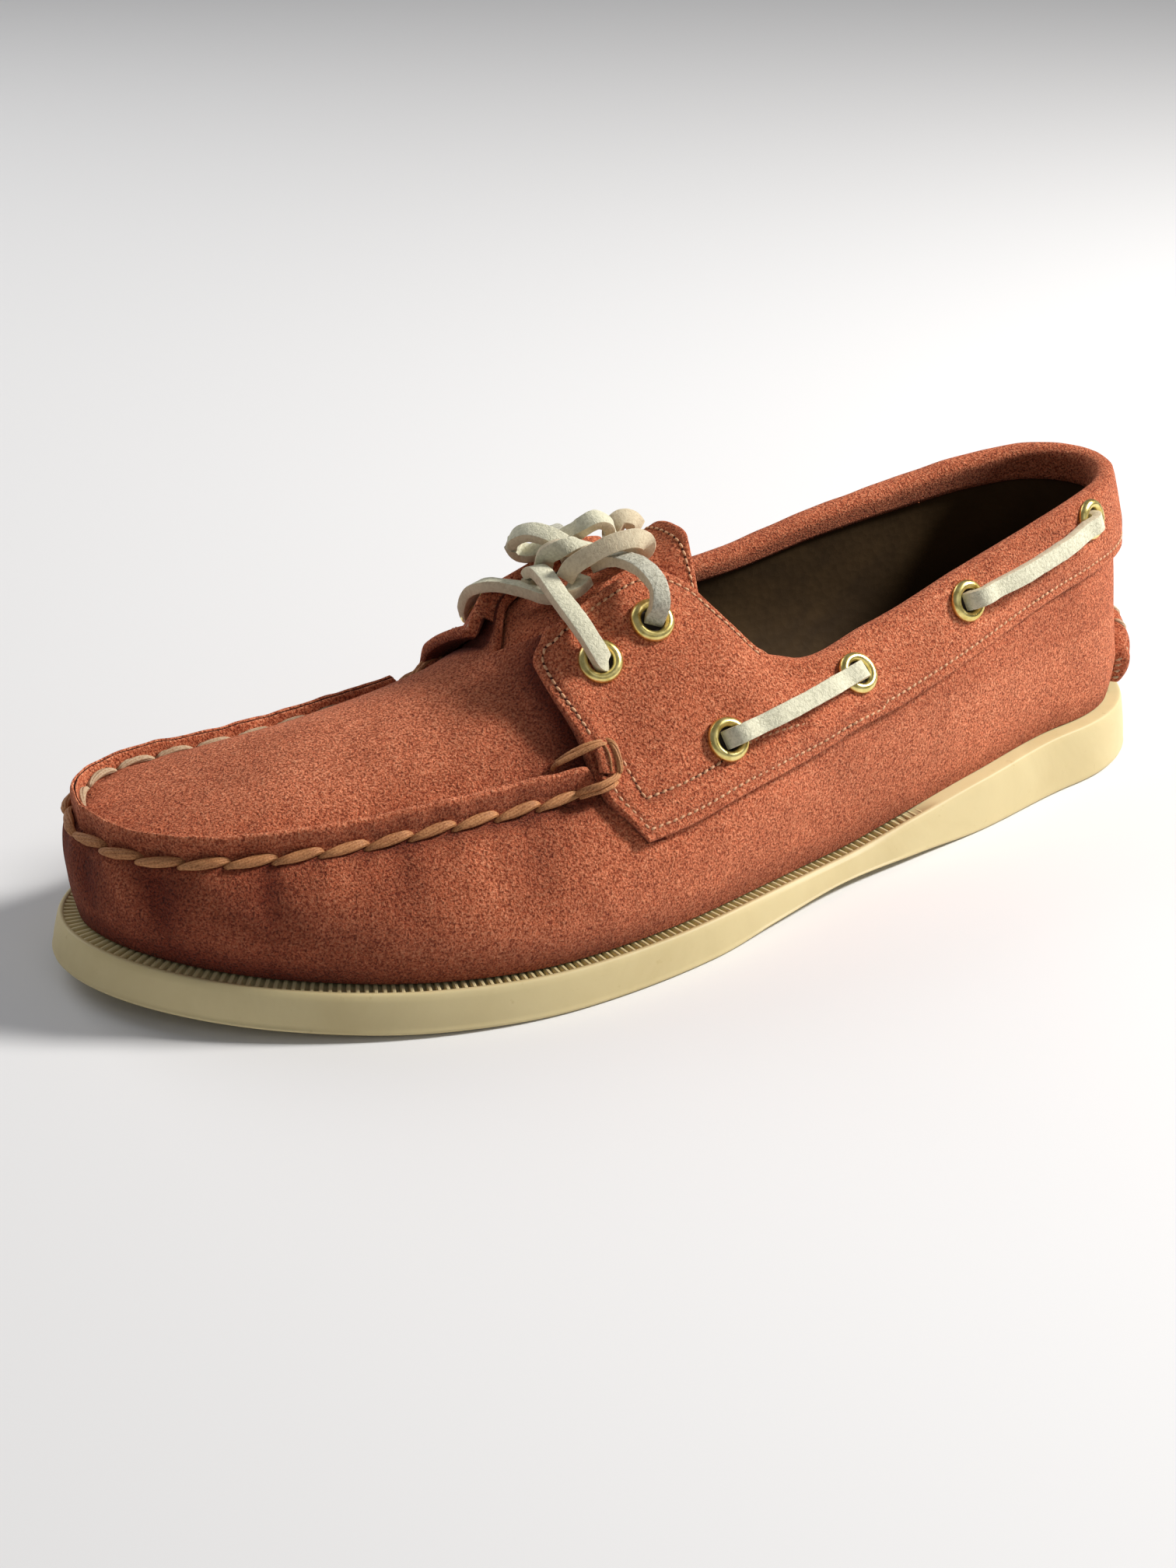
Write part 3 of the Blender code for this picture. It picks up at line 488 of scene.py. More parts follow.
class Batch:
    """Collects many small closed pieces into one mesh."""
    def __init__(self):
        self.verts, self.faces, self.count = [], [], 0

    def tube(self, ring):
        n, m = ring.shape[:2]
        self.verts.append(ring.reshape(-1, 3))
        self.faces += tube_faces(n, m, self.count)
        self.count += n*m

    def piece(self, name, finish, **kinds):
        link(name, mesh_of(name, np.concatenate(self.verts), self.faces), finish, **kinds)


def circle(radius, m=8, squash=1.0):
    a = np.linspace(0, 2*np.pi, m, endpoint=False)
    return [(radius*math.cos(x), radius*squash*math.sin(x)) for x in a]


def flat_section(width, thick, corner):
    """Lace section: flat faces, rounded corners."""
    r = corner*MM
    out = []
    for sx, sy, a0 in ((1, 1, 0), (-1, 1, 90), (-1, -1, 180), (1, -1, 270)):
        for a in np.linspace(a0, a0+90, 3):
            out.append((sx*(width/2-r)+r*math.cos(math.radians(a)),
                        sy*(thick/2-r)+r*math.sin(math.radians(a))))
    return out


# materials
def nodes_of(name):
    m = bpy.data.materials.new(name)
    m.use_nodes = True
    t = m.node_tree
    return m, t, t.nodes["Principled BSDF"]


def fill(tree, node, **inputs):
    """Sets inputs by name, underscores for spaces; an output is linked instead."""
    for name, value in inputs.items():
        sock = node.inputs[name.replace("_", " ")]
        if isinstance(value, bpy.types.NodeSocket):
            tree.links.new(value, sock)
        else:
            sock.default_value = value
    return node


def add(tree, kind, **inputs):
    return fill(tree, tree.nodes.new("ShaderNode"+kind), **inputs)


def noise(tree, scale, detail=4.0, rough=0.55, distort=0.0):
    where = add(tree, "TexCoord").outputs["Object"]
    return add(tree, "TexNoise", Vector=where, Scale=scale, Detail=detail, Roughness=rough,
               Distortion=distort).outputs["Fac"]


def ramp(tree, fac, stops):
    r = tree.nodes.new("ShaderNodeValToRGB")
    cr = r.color_ramp
    while len(cr.elements) < len(stops):
        cr.elements.new(0.5)
    for e, (p, c) in zip(cr.elements, stops):
        e.position = p
        e.color = (*c, 1) if len(c) == 3 else c
    tree.links.new(fac, r.inputs["Fac"])
    return r.outputs["Color"]


def mix(tree, a, b, fac, mode="MIX"):
    """Colour mix; a, b and fac are outputs, colours or numbers."""
    m = tree.nodes.new("ShaderNodeMix")
    m.data_type = "RGBA"
    m.blend_type = mode
    for sock, val in ((m.inputs[6], a), (m.inputs[7], b), (m.inputs[0], fac)):
        if isinstance(val, bpy.types.NodeSocket):
            tree.links.new(val, sock)
        elif isinstance(val, (tuple, list)):
            sock.default_value = (*val, 1)
        else:
            sock.default_value = val
    return m.outputs[2]


def bump(tree, heights):
    """Chain of bump nodes from (height output, strength, distance)."""
    last = None
    for h, strength, dist in heights:
        b = add(tree, "Bump", Strength=strength, Distance=dist, Height=h)
        if last is not None:
            tree.links.new(last, b.inputs["Normal"])
        last = b.outputs["Normal"]
    return last


def coat(t, b, colour, rough, specular, heights):
    """Links colour and relief to the shader and sets its two plain values."""
    fill(t, b, Base_Color=colour, Roughness=rough, Specular_IOR_Level=specular, Normal=bump(t, heights))


def suede(name, light, middle, dark, sheen):
    """Napped leather: pebbled nap, brushed patches, pale dusting on the raised parts."""
    m, t, b = nodes_of(name)
    nap = noise(t, 1900, 3.0, 0.60, 0.4)
    tuft = noise(t, 760, 2.0, 0.55, 0.3)
    fine = noise(t, 5200, 2.0, 0.6)
    patch = noise(t, 48, 5.0, 0.62, 0.8)
    broad = noise(t, 11, 2.0, 0.5)
    grain = ramp(t, nap, [(0.36, dark), (0.50, middle), (0.64, light)])
    soft = ramp(t, tuft, [(0.34, (0.84, 0.81, 0.79)), (0.64, (1.08, 1.09, 1.10))])
    col = mix(t, grain, soft, 0.8, "MULTIPLY")
    tone = ramp(t, patch, [(0.30, (0.80, 0.76, 0.74)), (0.52, (1.0, 1.0, 1.0)),
                           (0.72, (1.14, 1.20, 1.26))])
    col = mix(t, col, tone, 0.85, "MULTIPLY")
    wide = ramp(t, broad, [(0.35, (0.88, 0.86, 0.86)), (0.65, (1.07, 1.07, 1.07))])
    col = mix(t, col, wide, 0.8, "MULTIPLY")
    speck = ramp(t, fine, [(0.70, (0, 0, 0)), (0.80, (1, 1, 1))])
    col = mix(t, col, tuple(min(1.0, c*1.15+0.06) for c in light), speck)
    # paler for brushed and worn nap and for painted highlight, darker for painted shade, as stored on the
    # mesh: -1 to 1, 0 as it is
    worn = t.nodes.new("ShaderNodeAttribute")
    worn.attribute_name = "shade"
    half = t.nodes.new("ShaderNodeMath")
    half.operation = "MULTIPLY_ADD"
    half.inputs[1].default_value, half.inputs[2].default_value = 0.5, 0.5
    t.links.new(worn.outputs["Fac"], half.inputs[0])
    worn = ramp(t, half.outputs["Value"], [(0.0, (1.45, 1.75, 1.95)), (0.5, (1.0, 1.0, 1.0)),
                                           (1.0, (0.26, 0.125, 0.085))])
    col = mix(t, col, worn, 1.0, "MULTIPLY")
    coat(t, b, col, 0.85, 0.20, [(patch, 0.12, 1.5*MM), (tuft, 0.5, 0.9*MM), (nap, 1.0, 1.3*MM),
                                 (fine, 0.4, 0.2*MM)])
    fill(t, b, Sheen_Weight=sheen, Sheen_Roughness=0.45, Sheen_Tint=(1.0, 0.75, 0.60, 1))
    return m


def rubber(name, light, shade):
    m, t, b = nodes_of(name)
    stain = noise(t, 26, 5.0, 0.65, 0.6)
    fine = noise(t, 900, 3.0, 0.6)
    col = ramp(t, stain, [(0.28, shade), (0.62, light)])
    dirt = ramp(t, noise(t, 240, 4.0, 0.7), [(0.24, (0.62, 0.52, 0.34)), (0.36, (1, 1, 1))])
    col = mix(t, col, dirt, 0.35, "MULTIPLY")
    coat(t, b, col, 0.52, 0.35, [(stain, 0.10, 0.5*MM), (fine, 0.12, 0.15*MM)])
    fill(t, b, Subsurface_Weight=0.06, Subsurface_Radius=(0.003, 0.002, 0.001))
    return m


def hide(name, light, dark, fuzz):
    m, t, b = nodes_of(name)
    grain = noise(t, 1300, 4.0, 0.65, 0.5)
    wear = noise(t, 210, 4.0, 0.65, 0.6)
    col = mix(t, ramp(t, grain, [(0.34, dark), (0.58, light)]),
              ramp(t, wear, [(0.3, tuple(0.80*c for c in light)), (0.7, light)]), 0.4)
    coat(t, b, col, 0.82, 0.2, [(wear, 0.25, 0.5*MM), (grain, 0.8*fuzz+0.15, 0.5*MM)])
    fill(t, b, Sheen_Weight=0.15*fuzz)
    return m


def thread(name, light, dark):
    m, t, b = nodes_of(name)
    strand = noise(t, 2600, 2.0, 0.5, 0.2)
    tone = noise(t, 120, 3.0, 0.6)
    col = mix(t, ramp(t, strand, [(0.35, dark), (0.62, light)]),
              ramp(t, tone, [(0.3, dark), (0.7, light)]), 0.4)
    coat(t, b, col, 0.6, 0.3, [(strand, 0.5, 0.2*MM)])
    return m


def leather(name, light, dark, rough):
    m, t, b = nodes_of(name)
    pebble = add(t, "TexVoronoi", Vector=add(t, "TexCoord").outputs["Object"], Scale=420).outputs["Distance"]
    tone = noise(t, 40, 4.0, 0.6, 0.5)
    coat(t, b, ramp(t, tone, [(0.3, dark), (0.7, light)]), rough, 0.3,
         [(pebble, 0.25, 0.3*MM), (noise(t, 1500, 3.0), 0.2, 0.1*MM)])
    return m


def brass(name):
    m, t, b = nodes_of(name)
    tone = noise(t, 420, 3.0, 0.6)
    worn = add(t, "MapRange", Value=tone, To_Min=0.18, To_Max=0.42)
    fill(t, b, Metallic=1.0, Roughness=worn.outputs["Result"],
         Base_Color=ramp(t, tone, [(0.3, (0.60, 0.46, 0.12)), (0.65, (0.92, 0.78, 0.32))]),
         Normal=bump(t, [(noise(t, 1500, 2.0), 0.15, 0.1*MM)]))
    return m


def plain(name, colour, rough, specular=0.5):
    m, t, b = nodes_of(name)
    fill(t, b, Base_Color=(*colour, 1), Roughness=rough, Specular_IOR_Level=specular)
    return m


CORAL = suede("suede_coral", (0.93, 0.345, 0.175), (0.73, 0.188, 0.078), (0.29, 0.045, 0.015), 0.10)
# near-black suede put in the ridge's top crevice and the needle holes: painted shade
RECESS_SHADE = suede("suede_recess_shade", (0.16, 0.040, 0.020), (0.07, 0.014, 0.007), (0.02, 0.004, 0.002), 0.05)
CREAM = rubber("rubber_cream", (0.66, 0.55, 0.30), (0.57, 0.46, 0.235))
LINING = leather("lining_olive", (0.085, 0.048, 0.017), (0.040, 0.022, 0.008), 0.62)
NAVY = leather("insole_leather", (0.022, 0.022, 0.030), (0.008, 0.009, 0.014), 0.6)
LACE_FACE = hide("lace_hide_face", (0.76, 0.73, 0.55), (0.46, 0.44, 0.30), 0.8)
LACE_FLESH = hide("lace_hide_flesh", (0.64, 0.62, 0.50), (0.20, 0.18, 0.12), 1.0)
LACE_CUT = hide("lace_hide_cut", (0.70, 0.60, 0.42), (0.50, 0.39, 0.25), 0.3)
THREAD_TAN = thread("thread_tan", (0.62, 0.295, 0.12), (0.27, 0.095, 0.034))
THREAD_PALE = thread("thread_pale", (0.62, 0.47, 0.31), (0.36, 0.22, 0.12))
THREAD_FINE = thread("thread_machine", (0.80, 0.47, 0.27), (0.46, 0.21, 0.10))
BRASS = brass("eyelet_brass")
# near-black disc colour for the inside of the eyelet holes: painted shade
EYELET_HOLE_SHADE = plain("eyelet_hole_painted_shade", (0.012, 0.006, 0.004), 0.9)


# camera
def make_camera():
    a, e, r = (math.radians(x) for x in (AZIMUTH, ELEVATION, ROLL))
    back = Vector((math.sin(a)*math.cos(e), -math.cos(a)*math.cos(e), math.sin(e)))
    right = Vector((0, 0, 1)).cross(back).normalized()
    up = back.cross(right)
    axis_x = right*math.cos(r)+up*math.sin(r)
    axis_y = -right*math.sin(r)+up*math.cos(r)
    data = bpy.data.cameras.new("camera")
    data.sensor_width = SENSOR
    data.lens = FOCAL_PIXELS*SENSOR/PHOTO_HEIGHT
    data.shift_x = -(CENTRE_PIXEL[0]-PHOTO_WIDTH/2)/PHOTO_HEIGHT
    data.shift_y = (CENTRE_PIXEL[1]-PHOTO_HEIGHT/2)/PHOTO_HEIGHT
    data.clip_start, data.clip_end = 0.01, 60.0
    cam = bpy.data.objects.new("camera", data)
    bpy.context.scene.collection.objects.link(cam)
    m = Matrix((axis_x, axis_y, back)).transposed().to_4x4()
    m.translation = back*DISTANCE+Vector(TARGET)
    cam.matrix_world = m
    bpy.context.scene.camera = cam


make_camera()


# upper
RIB_PITCH = 2.0*MM
SEAM_PITCH = 9.7*MM          # hand stitches of the ring seam
SEAM_SHIFT = 4.3*MM          # first stitch, from the middle of the toe to the outer side
SEAM_DROP = 2.4*MM           # stitch line below the ridge foot
WALL_SPAN = 62*MM            # about what a height share of 1 measures on the wall
PLUG_SPAN = 60*MM            # same on the plug
MACHINE_PITCH = 1.95*MM
MACHINE_RADIUS = 0.33*MM
COLUMNS = 420                # per side


def seam_length():
    """Keys and arc length along the ring seam from the toe tip, for each side."""
    t = np.linspace(0.5, 1, 400)
    out = {}
    for side in (1, -1):
        p = surface(t, SEAM-1e-6, side)
        g = run_along(p)
        out[side] = (t, g[-1]-g)
    return out


SEAM_ARC = seam_length()


def seam_arc(t, side):
    return np.interp(t, *SEAM_ARC[side])


def seam_key(arc, side):
    t, g = SEAM_ARC[side]
    return np.interp(arc, g[::-1], t[::-1])


def ridge_start(side):
    edge = front_key(np.array([SEAM]), side)[0]
    return surface(edge, SEAM, side)[0]+(-0.5*MM if side > 0 else 4.5*MM)


RIDGE_START = {s: ridge_start(s) for s in (1, -1)}

# soft folds pressed into the toe wall:
# key, height share, side, half length along v, half width in keys, depth in mm
FOLDS = (
    (0.985, 0.34, 1, 0.20, 0.010, 0.55),
    (0.955, 0.38, 1, 0.16, 0.012, -0.45),
    (0.925, 0.33, 1, 0.20, 0.010, 0.60),
    (0.890, 0.40, 1, 0.15, 0.013, -0.50),
    (0.855, 0.36, 1, 0.18, 0.010, 0.50),
    (0.815, 0.40, 1, 0.14, 0.014, -0.40),
    (0.770, 0.38, 1, 0.17, 0.011, 0.45),
    (0.720, 0.40, 1, 0.15, 0.015, -0.35),
    (0.680, 0.36, 1, 0.14, 0.012, 0.40),
    (0.980, 0.36, -1, 0.18, 0.010, 0.50),
    (0.930, 0.38, -1, 0.17, 0.012, 0.55),
    (0.880, 0.36, -1, 0.17, 0.011, -0.45),
    (0.830, 0.38, -1, 0.16, 0.012, 0.45),
    (0.770, 0.38, -1, 0.16, 0.013, -0.40),
    (0.710, 0.36, -1, 0.15, 0.012, 0.40),
)


def wobble(x, seed):
    """Smooth repeatable unevenness from a few waves."""
    return (np.sin(x*1.0+seed)+0.6*np.sin(x*2.3+seed*2.1)+0.4*np.sin(x*4.1+seed*0.7))/2


def seam_phase(t, side):
    return (seam_arc(t, side)-side*SEAM_SHIFT)/SEAM_PITCH*2*np.pi


def below_seam(t, v):
    """Distance under the ring seam, and 1 where the seam has its ridge."""
    return np.clip(SEAM-v, 0, 1)*WALL_SPAN, rise(t, 0.600, 0.640)


def inside_seam(v):
    return np.clip(v-SEAM, 0, 1)*PLUG_SPAN


def folds(t, v, side):
    """Sum of the folds at a point, depth in mm."""
    return sum(depth*bell(t-key-(v-share)*0.03, width)*bell(v-share, length)
               for key, share, s, length, width, depth in FOLDS if s == side)


def wall_relief(t, v, side):
    """Gathers and folds of the wall, outward in metres."""
    arc = seam_arc(t, side)
    below, front = below_seam(t, v)
    phase = seam_phase(t, side)
    uneven = 0.75+0.45*wobble(arc*120, 1.3+side)
    d = 0.42*MM*np.cos(phase+np.pi)*np.exp(-below/(5.0*MM))*uneven*rise(below, 0.2*MM, 2.5*MM)
    d -= 0.95*MM*bell(below-SEAM_DROP, 1.6*MM)
    d = d*front-folds(t, v, side)*MM
    d = d+0.25*MM*wobble(t*55, 0.4)*wobble(v*9, 2.0+side)*rise(v, 0.02, 0.2)*(1-rise(v, 0.38, 0.52))
    return d


def plug_relief(t, v, side):
    inside = inside_seam(v)
    d = -0.45*MM*bell(inside, 2.6*MM)+0.30*MM*np.cos(seam_phase(t, side))*bell(inside-1.5*MM, 3*MM)
    return d*rise(t, 0.635, 0.66)


def wall_shade(t, v, side):
    """Painted shade in the stitch groove, between the puckers, in the folds, over the front and lower toe
    wall and along the sole; paler on the quarter and at the heel, brushed nap and painted highlight.
    """
    below, front = below_seam(t, v)
    phase = seam_phase(t, side)
    d = 0.62*bell(below-SEAM_DROP-0.6*MM, 2.3*MM)*front
    d = d+0.30*np.clip(np.cos(phase+np.pi), 0, 1)*np.exp(-below/(7*MM))*front*(below > 1*MM)
    d = d+0.62*rise(t, 0.70, 0.93)*(1-rise(v, 0.40, 0.56))+0.45*(1-rise(v, 0.0, 0.14))
    d = d+0.55*folds(t, v, side)
    d = d+0.14*rise(t, 0.56, 0.66)*(1-rise(v, 0.50, 0.56))
    d = d-0.34*bell(t-0.24, 0.16)*bell(v-0.42, 0.24)-0.25*bell(t-0.04, 0.06)*bell(v-0.55, 0.3)
    return np.clip(d+0.12*wobble(t*60, 0.7+side)*wobble(v*11, 1.4), -1, 1)


def plug_shade(t, v, side):
    """Painted shade in the corner by the ridge and at the throat under the flaps, painted shadow of the flap
    beside its front edge; paler over the toes, brushed nap and painted highlight.
    """
    d = 0.55*bell(inside_seam(v), 2.2*MM)*rise(t, 0.635, 0.66)
    near = 0.014 if side > 0 else 0.008
    d = d+0.75*np.exp(-(np.clip(t-front_key(v, side), 0, 1)/near)**2)*rise(t, 0.600, 0.620)
    d = d-0.22*bell(t-0.86, 0.13)*rise(v, 0.62, 0.80)
    d = d+0.35*(1-rise(t, 0.655, 0.700))*rise(t, 0.58, 0.62)
    return np.clip(d, -1, 1)


# folded ridge of the ring seam: share of the way from wall to plug, share of its height
RIDGE_PROFILE = (
    (0.0, 0.0), (-0.05, 0.25), (-0.06, 0.5), (-0.03, 0.72), (0.04, 0.88), (0.14, 0.965),
    (0.28, 1.0), (0.42, 0.99), (0.50, 0.94), (0.55, 0.80), (0.61, 0.80), (0.66, 0.90),
    (0.74, 0.935), (0.86, 0.91), (0.97, 0.80), (1.01, 0.60), (1.02, 0.35), (1.0, 0.12),
    (0.97, 0.0))


def ridge_shade(w, g):
    """Painted shade on the wall's side of the ridge and, less, under its top; pale along its crest, worn nap
    and painted highlight.
    """
    return 0.30 if w < 0.0 else 0.12 if g < 0.9 else -0.30


def build_upper():
    t = np.linspace(0, 1, COLUMNS)
    wall_share = np.linspace(0, 1, 52)[:-1]
    plug_share = np.linspace(0, 1, 44)[1:]
    plain = np.linspace(0, 1, len(RIDGE_PROFILE))
    up = np.array([0.0, 0.0, 1.0])
    sides, raised, shades = [], [], []
    for side in (1, -1):
        mid = surface(t, SEAM, side)
        run_w = np.linalg.norm(mid-surface(t, SEAM-0.05, side), axis=-1)
        run_p = np.linalg.norm(mid-surface(t, SEAM+0.05, side), axis=-1)
        half = RIDGE_WIDTH/2
        vw = SEAM-0.05*half/run_w
        vp = SEAM+0.05*half/run_p
        gx, nm = guide(t, side)
        h = RIDGE_HEIGHT*np.sqrt(rise(gx[:, 0], RIDGE_START[side], RIDGE_START[side]+2.8*MM))
        arc = seam_arc(t, side)
        h = h*(1+0.035*wobble(arc*260, side*0.7)+0.02*np.cos(arc/SEAM_PITCH*2*np.pi))
        a = above(t, vw, side, wall_relief(t, vw, side))[0]
        b = above(t, vp, side, plug_relief(t, vp, side))[0]
        crest = (a[:, 2]+b[:, 2])/2+h
        on = np.clip(h/(1.0*MM), 0, 1)
        raised.append(on)
        ridge = []
        for (w, g), flat in zip(RIDGE_PROFILE, plain):
            wq = w*on+flat*(1-on)
            p = a+(b-a)*wq[:, None]
            p[:, 2] = (p[:, 2]*(1-g)+crest*g)*on+p[:, 2]*(1-on)
            lean = (0.10*h*g+0.12*MM*wobble(arc*330, 2.2)*g)*on
            p[:, :2] += nm[:, :2]*lean[:, None]
            ridge.append(p)
        T, V = np.meshgrid(t, wall_share)
        V = V*vw[None, :]
        wall = above(T, V, side, wall_relief(T, V, side))[0]
        shade = [wall_shade(T, V, side)]
        shade.append(np.stack([np.where(on > 0.5, ridge_shade(w, g), 0.0) for w, g in RIDGE_PROFILE]))
        T, V = np.meshgrid(t, plug_share)
        V = vp[None, :]+(1-vp[None, :])*V
        plug = above(T, V, side, plug_relief(T, V, side))[0]
        shade.append(plug_shade(T, V, side))
        spine = surface(t, 1.0, side)
        plug[-1] = spine
        # edge of the leather, down to the lining
        open_edge = (t < SPINE-1e-6)[:, None]
        n = normal(t, 0.995, side)
        brim = [np.where(open_edge, spine-n*(WALL*w)+up*(h*MM), spine)
                for w, h in ((0.12, 0.16), (0.5, 0.26), (0.88, 0.12), (1.0, -0.3))]
        sides.append(np.concatenate([wall, np.array(ridge), plug, np.array(brim)]))
        shades.append(np.concatenate(shade+[np.full((len(brim), len(t)), 0.1)]))
    grid = ring_of(*sides)
    shade = ring_of(*shades)
    rows, cols = grid.shape[:2]
    faces = grid_faces(rows, cols, closed=True)
    raised = np.concatenate([raised[0], raised[1][::-1][1:-1]])
    # faces in the dip along the ridge's top take the near-black suede: painted shade in the crevice
    slots = [1 if len(wall)+8 <= i <= len(wall)+10 and raised[j] > 0.9 else 0
             for i in range(rows-1) for j in range(cols)]
    link("upper_shell", mesh_of("upper_shell", grid, faces, slots, shade), [CORAL, RECESS_SHADE], node="upper")


def build_lining():
    t = np.linspace(0, 1, 160)
    v = np.linspace(0.0, 1.0, 30)
    sides = []
    for side in (1, -1):
        T, V = np.meshgrid(t, v)
        p = above(T, V, side, -WALL)[0]
        joined = t >= SPINE-1e-6
        p[-1][joined, 1] = surface(t, 1.0, 1)[joined, 1]
        sides.append(p)
    grid = ring_of(*sides)
    link("lining", mesh_of("lining", grid, grid_faces(*grid.shape[:2], closed=True)), LINING)


# saddle
LOW_ROW = 2.8*MM             # stitch rows, distance from the edges of the saddle
SECOND_ROW = 9.2*MM
FRONT_ROW = 2.7*MM
FRONT_SECOND = 8.0*MM
THROAT_ROW = 3.0*MM
GROOVE = 0.8*MM              # half width of the groove that a stitch row presses
PANEL = 2.5*MM               # saddle face above the upper
STITCH_SINK = 0.28*MM        # machine stitches below that face
EDGE_SEAT = 0.12*MM          # saddle edge above the upper
EDGE_RADIUS = 0.9*MM         # rounding of the cut edges, also the tongue's
TOP_RADIUS = 1.1*MM          # same at the throat
COLLAR_RUNS_OUT = (0.440, 0.478)   # keys between which the padded collar ends
FLAP_KEY = 0.52              # the flaps lie in front of this key
FLAP_LIFT = {1: 2.1*MM, -1: 2.8*MM}


def slope_t(t, v, side):
    e = 2e-3
    return np.linalg.norm(surface(t+e, v, side)-surface(t-e, v, side), axis=-1)/(2*e)


def slope_v(t, v, side):
    e = 2e-3
    return np.linalg.norm(surface(t, v+e, side)-surface(t, v-e, side), axis=-1)/(2*e)


def from_front(t, v, side):
    """Distance from the saddle's front edge, and how far the flap stands off there."""
    d = np.clip(front_key(v, side)-t, 0, 1)*slope_t(np.clip(t, 0.01, 0.99), v, side)
    return d, FLAP_LIFT[side]*bell(d, 8*MM)*rise(v, 0.59, 0.68)*(t > FLAP_KEY)


def build_saddle():
    p = np.concatenate([np.linspace(0, STRETCH_KEY, 250), np.linspace(STRETCH_KEY, 0.640, 110)[1:],
                        np.linspace(0.640, SPINE, 26)[1:]])
    q = np.concatenate([np.linspace(0, 0.03, 7), np.linspace(0.03, 0.93, 56)[1:],
                        np.linspace(0.93, 1.0, 9)[1:]])
    halves, saddle_shades = [], []
    for side in (1, -1):
        P2, Q2 = np.meshgrid(p, q, indexing="ij")
        t, v = band_point(P2, Q2, side)
        base, n = surface(t, v, side), normal(t, v, side)
        low = band_low(t)
        d_low = (v-low)*slope_v(t, (v+low)/2, side)
        d_front, stand = from_front(t, v, side)
        d_top = (BAND_TOP-v)*slope_v(t, v, side)
        roll = 1-rise(t, *COLLAR_RUNS_OUT)
        open_top = d_top*(1-roll)+roll*9*MM
        edge = edge_round(d_low, EDGE_RADIUS)*edge_round(d_front, EDGE_RADIUS)
        edge = edge*edge_round(open_top, TOP_RADIUS)
        off = EDGE_SEAT+(PANEL-EDGE_SEAT)*edge
        dip = bell(d_low-LOW_ROW, GROOVE)
        dip = dip+bell(d_low-SECOND_ROW, GROOVE)*rise(t, 0.395, 0.405)*(d_front > FRONT_SECOND-1*MM)
        dip = dip+bell(d_front-FRONT_ROW, GROOVE)*(t > 0.55)
        dip = dip+bell(d_front-FRONT_SECOND, GROOVE)*(t > 0.55)*(v < 0.61)*(d_low > SECOND_ROW-1*MM)
        dip = dip+bell(d_top-THROAT_ROW, GROOVE)*rise(t, 0.470, 0.480)
        puff = 0.35*MM*bell(d_low-(LOW_ROW+SECOND_ROW)/2, 3*MM)
        off = off-STITCH_SINK*np.clip(dip, 0, 1)*edge+puff*edge
        off = off+0.35*MM*wobble(t*44, 1.0+side)*wobble(v*8, 0.3)*edge
        off = off+stand
        pts = base+n*off[..., None]
        # roll over the collar edge, down to the inside
        ts = t[:, -1]
        cross_n = n[:, -1]
        up = unit(surface(ts, BAND_TOP, side)-surface(ts, 0.93, side))
        crest = surface(ts, 1.0, side)
        r_out, r_in = off[:, -1], WALL+0.9*MM
        rollq = roll[:, -1]
        # the saddle's shade: painted shade in the stitch grooves and on the rounded edges, paler along the
        # open top edge, and paler patches on the quarter and the saddle's middle, brushed nap and painted
        # highlight
        saddle_shade = 0.35*np.clip(dip, 0, 1)*edge-0.25*bell(d_top, 5*MM)*(1-roll)+0.5*(1-edge)
        saddle_shade = saddle_shade-0.30*bell(t-0.22, 0.14)*bell(v-0.85, 0.2)-0.22*bell(t-0.47, 0.05)*bell(v-0.75, 0.15)
        extra = []
        for a in np.linspace(20, 170, 9):
            ca, sa = math.cos(math.radians(a)), math.sin(math.radians(a))
            across = (r_out-r_in)/2+(r_out+r_in)/2*ca
            height = (r_out+r_in)/2*0.80*sa
            rolled = crest+cross_n*across[:, None]+up*height[:, None]
            flat = pts[:, -1]-cross_n*(off[:, -1]*min(1, a/60))[:, None]
            extra.append(rolled*rollq[:, None]+flat*(1-rollq)[:, None])
        for depth, inset in ((0.975, 0.0), (0.95, 0.0), (0.925, 0.05), (0.905, 0.15), (0.902, 0.75)):
            inner = above(ts, np.full_like(ts, depth), side, inset*0.9*MM-r_in)[0]
            flat = pts[:, -1]-cross_n*off[:, -1][:, None]
            extra.append(inner*rollq[:, None]+flat*(1-rollq)[:, None])
        half = np.concatenate([pts, np.stack(extra, 1)], 1)
        # underside of the raised front edge
        back = (np.array([0.4, 2.2, 5.5])*MM)[:, None]
        t_back, v_back = t[-1]-back/slope_t(t[-1], v[-1], side), np.broadcast_to(v[-1], (3, v.shape[1]))
        rest = np.array([0.9, 0.6, 0.2])[:, None]*stand[-1]+EDGE_SEAT
        under = above(t_back, v_back, side, rest)[0]
        tail = np.repeat(under[:, -1:], half.shape[1]-under.shape[1], 1)
        halves.append(np.concatenate([half, np.concatenate([under, tail], 1)]))
        saddle_shade = np.concatenate([saddle_shade, np.zeros((saddle_shade.shape[0], half.shape[1]-saddle_shade.shape[1]))], 1)
        # the underside rows of the raised front edge: painted shade
        saddle_shades.append(np.concatenate([saddle_shade, np.full((3, saddle_shade.shape[1]), 0.9)]))
    grid = np.concatenate([halves[0][::-1], halves[1][1:]])
    shade = np.concatenate([saddle_shades[0][::-1], saddle_shades[1][1:]])
    mesh = mesh_of("saddle_panel", grid, grid_faces(*grid.shape[:2]), shade=np.clip(shade, -1, 1))
    link("saddle_panel", mesh, CORAL, node="saddle")


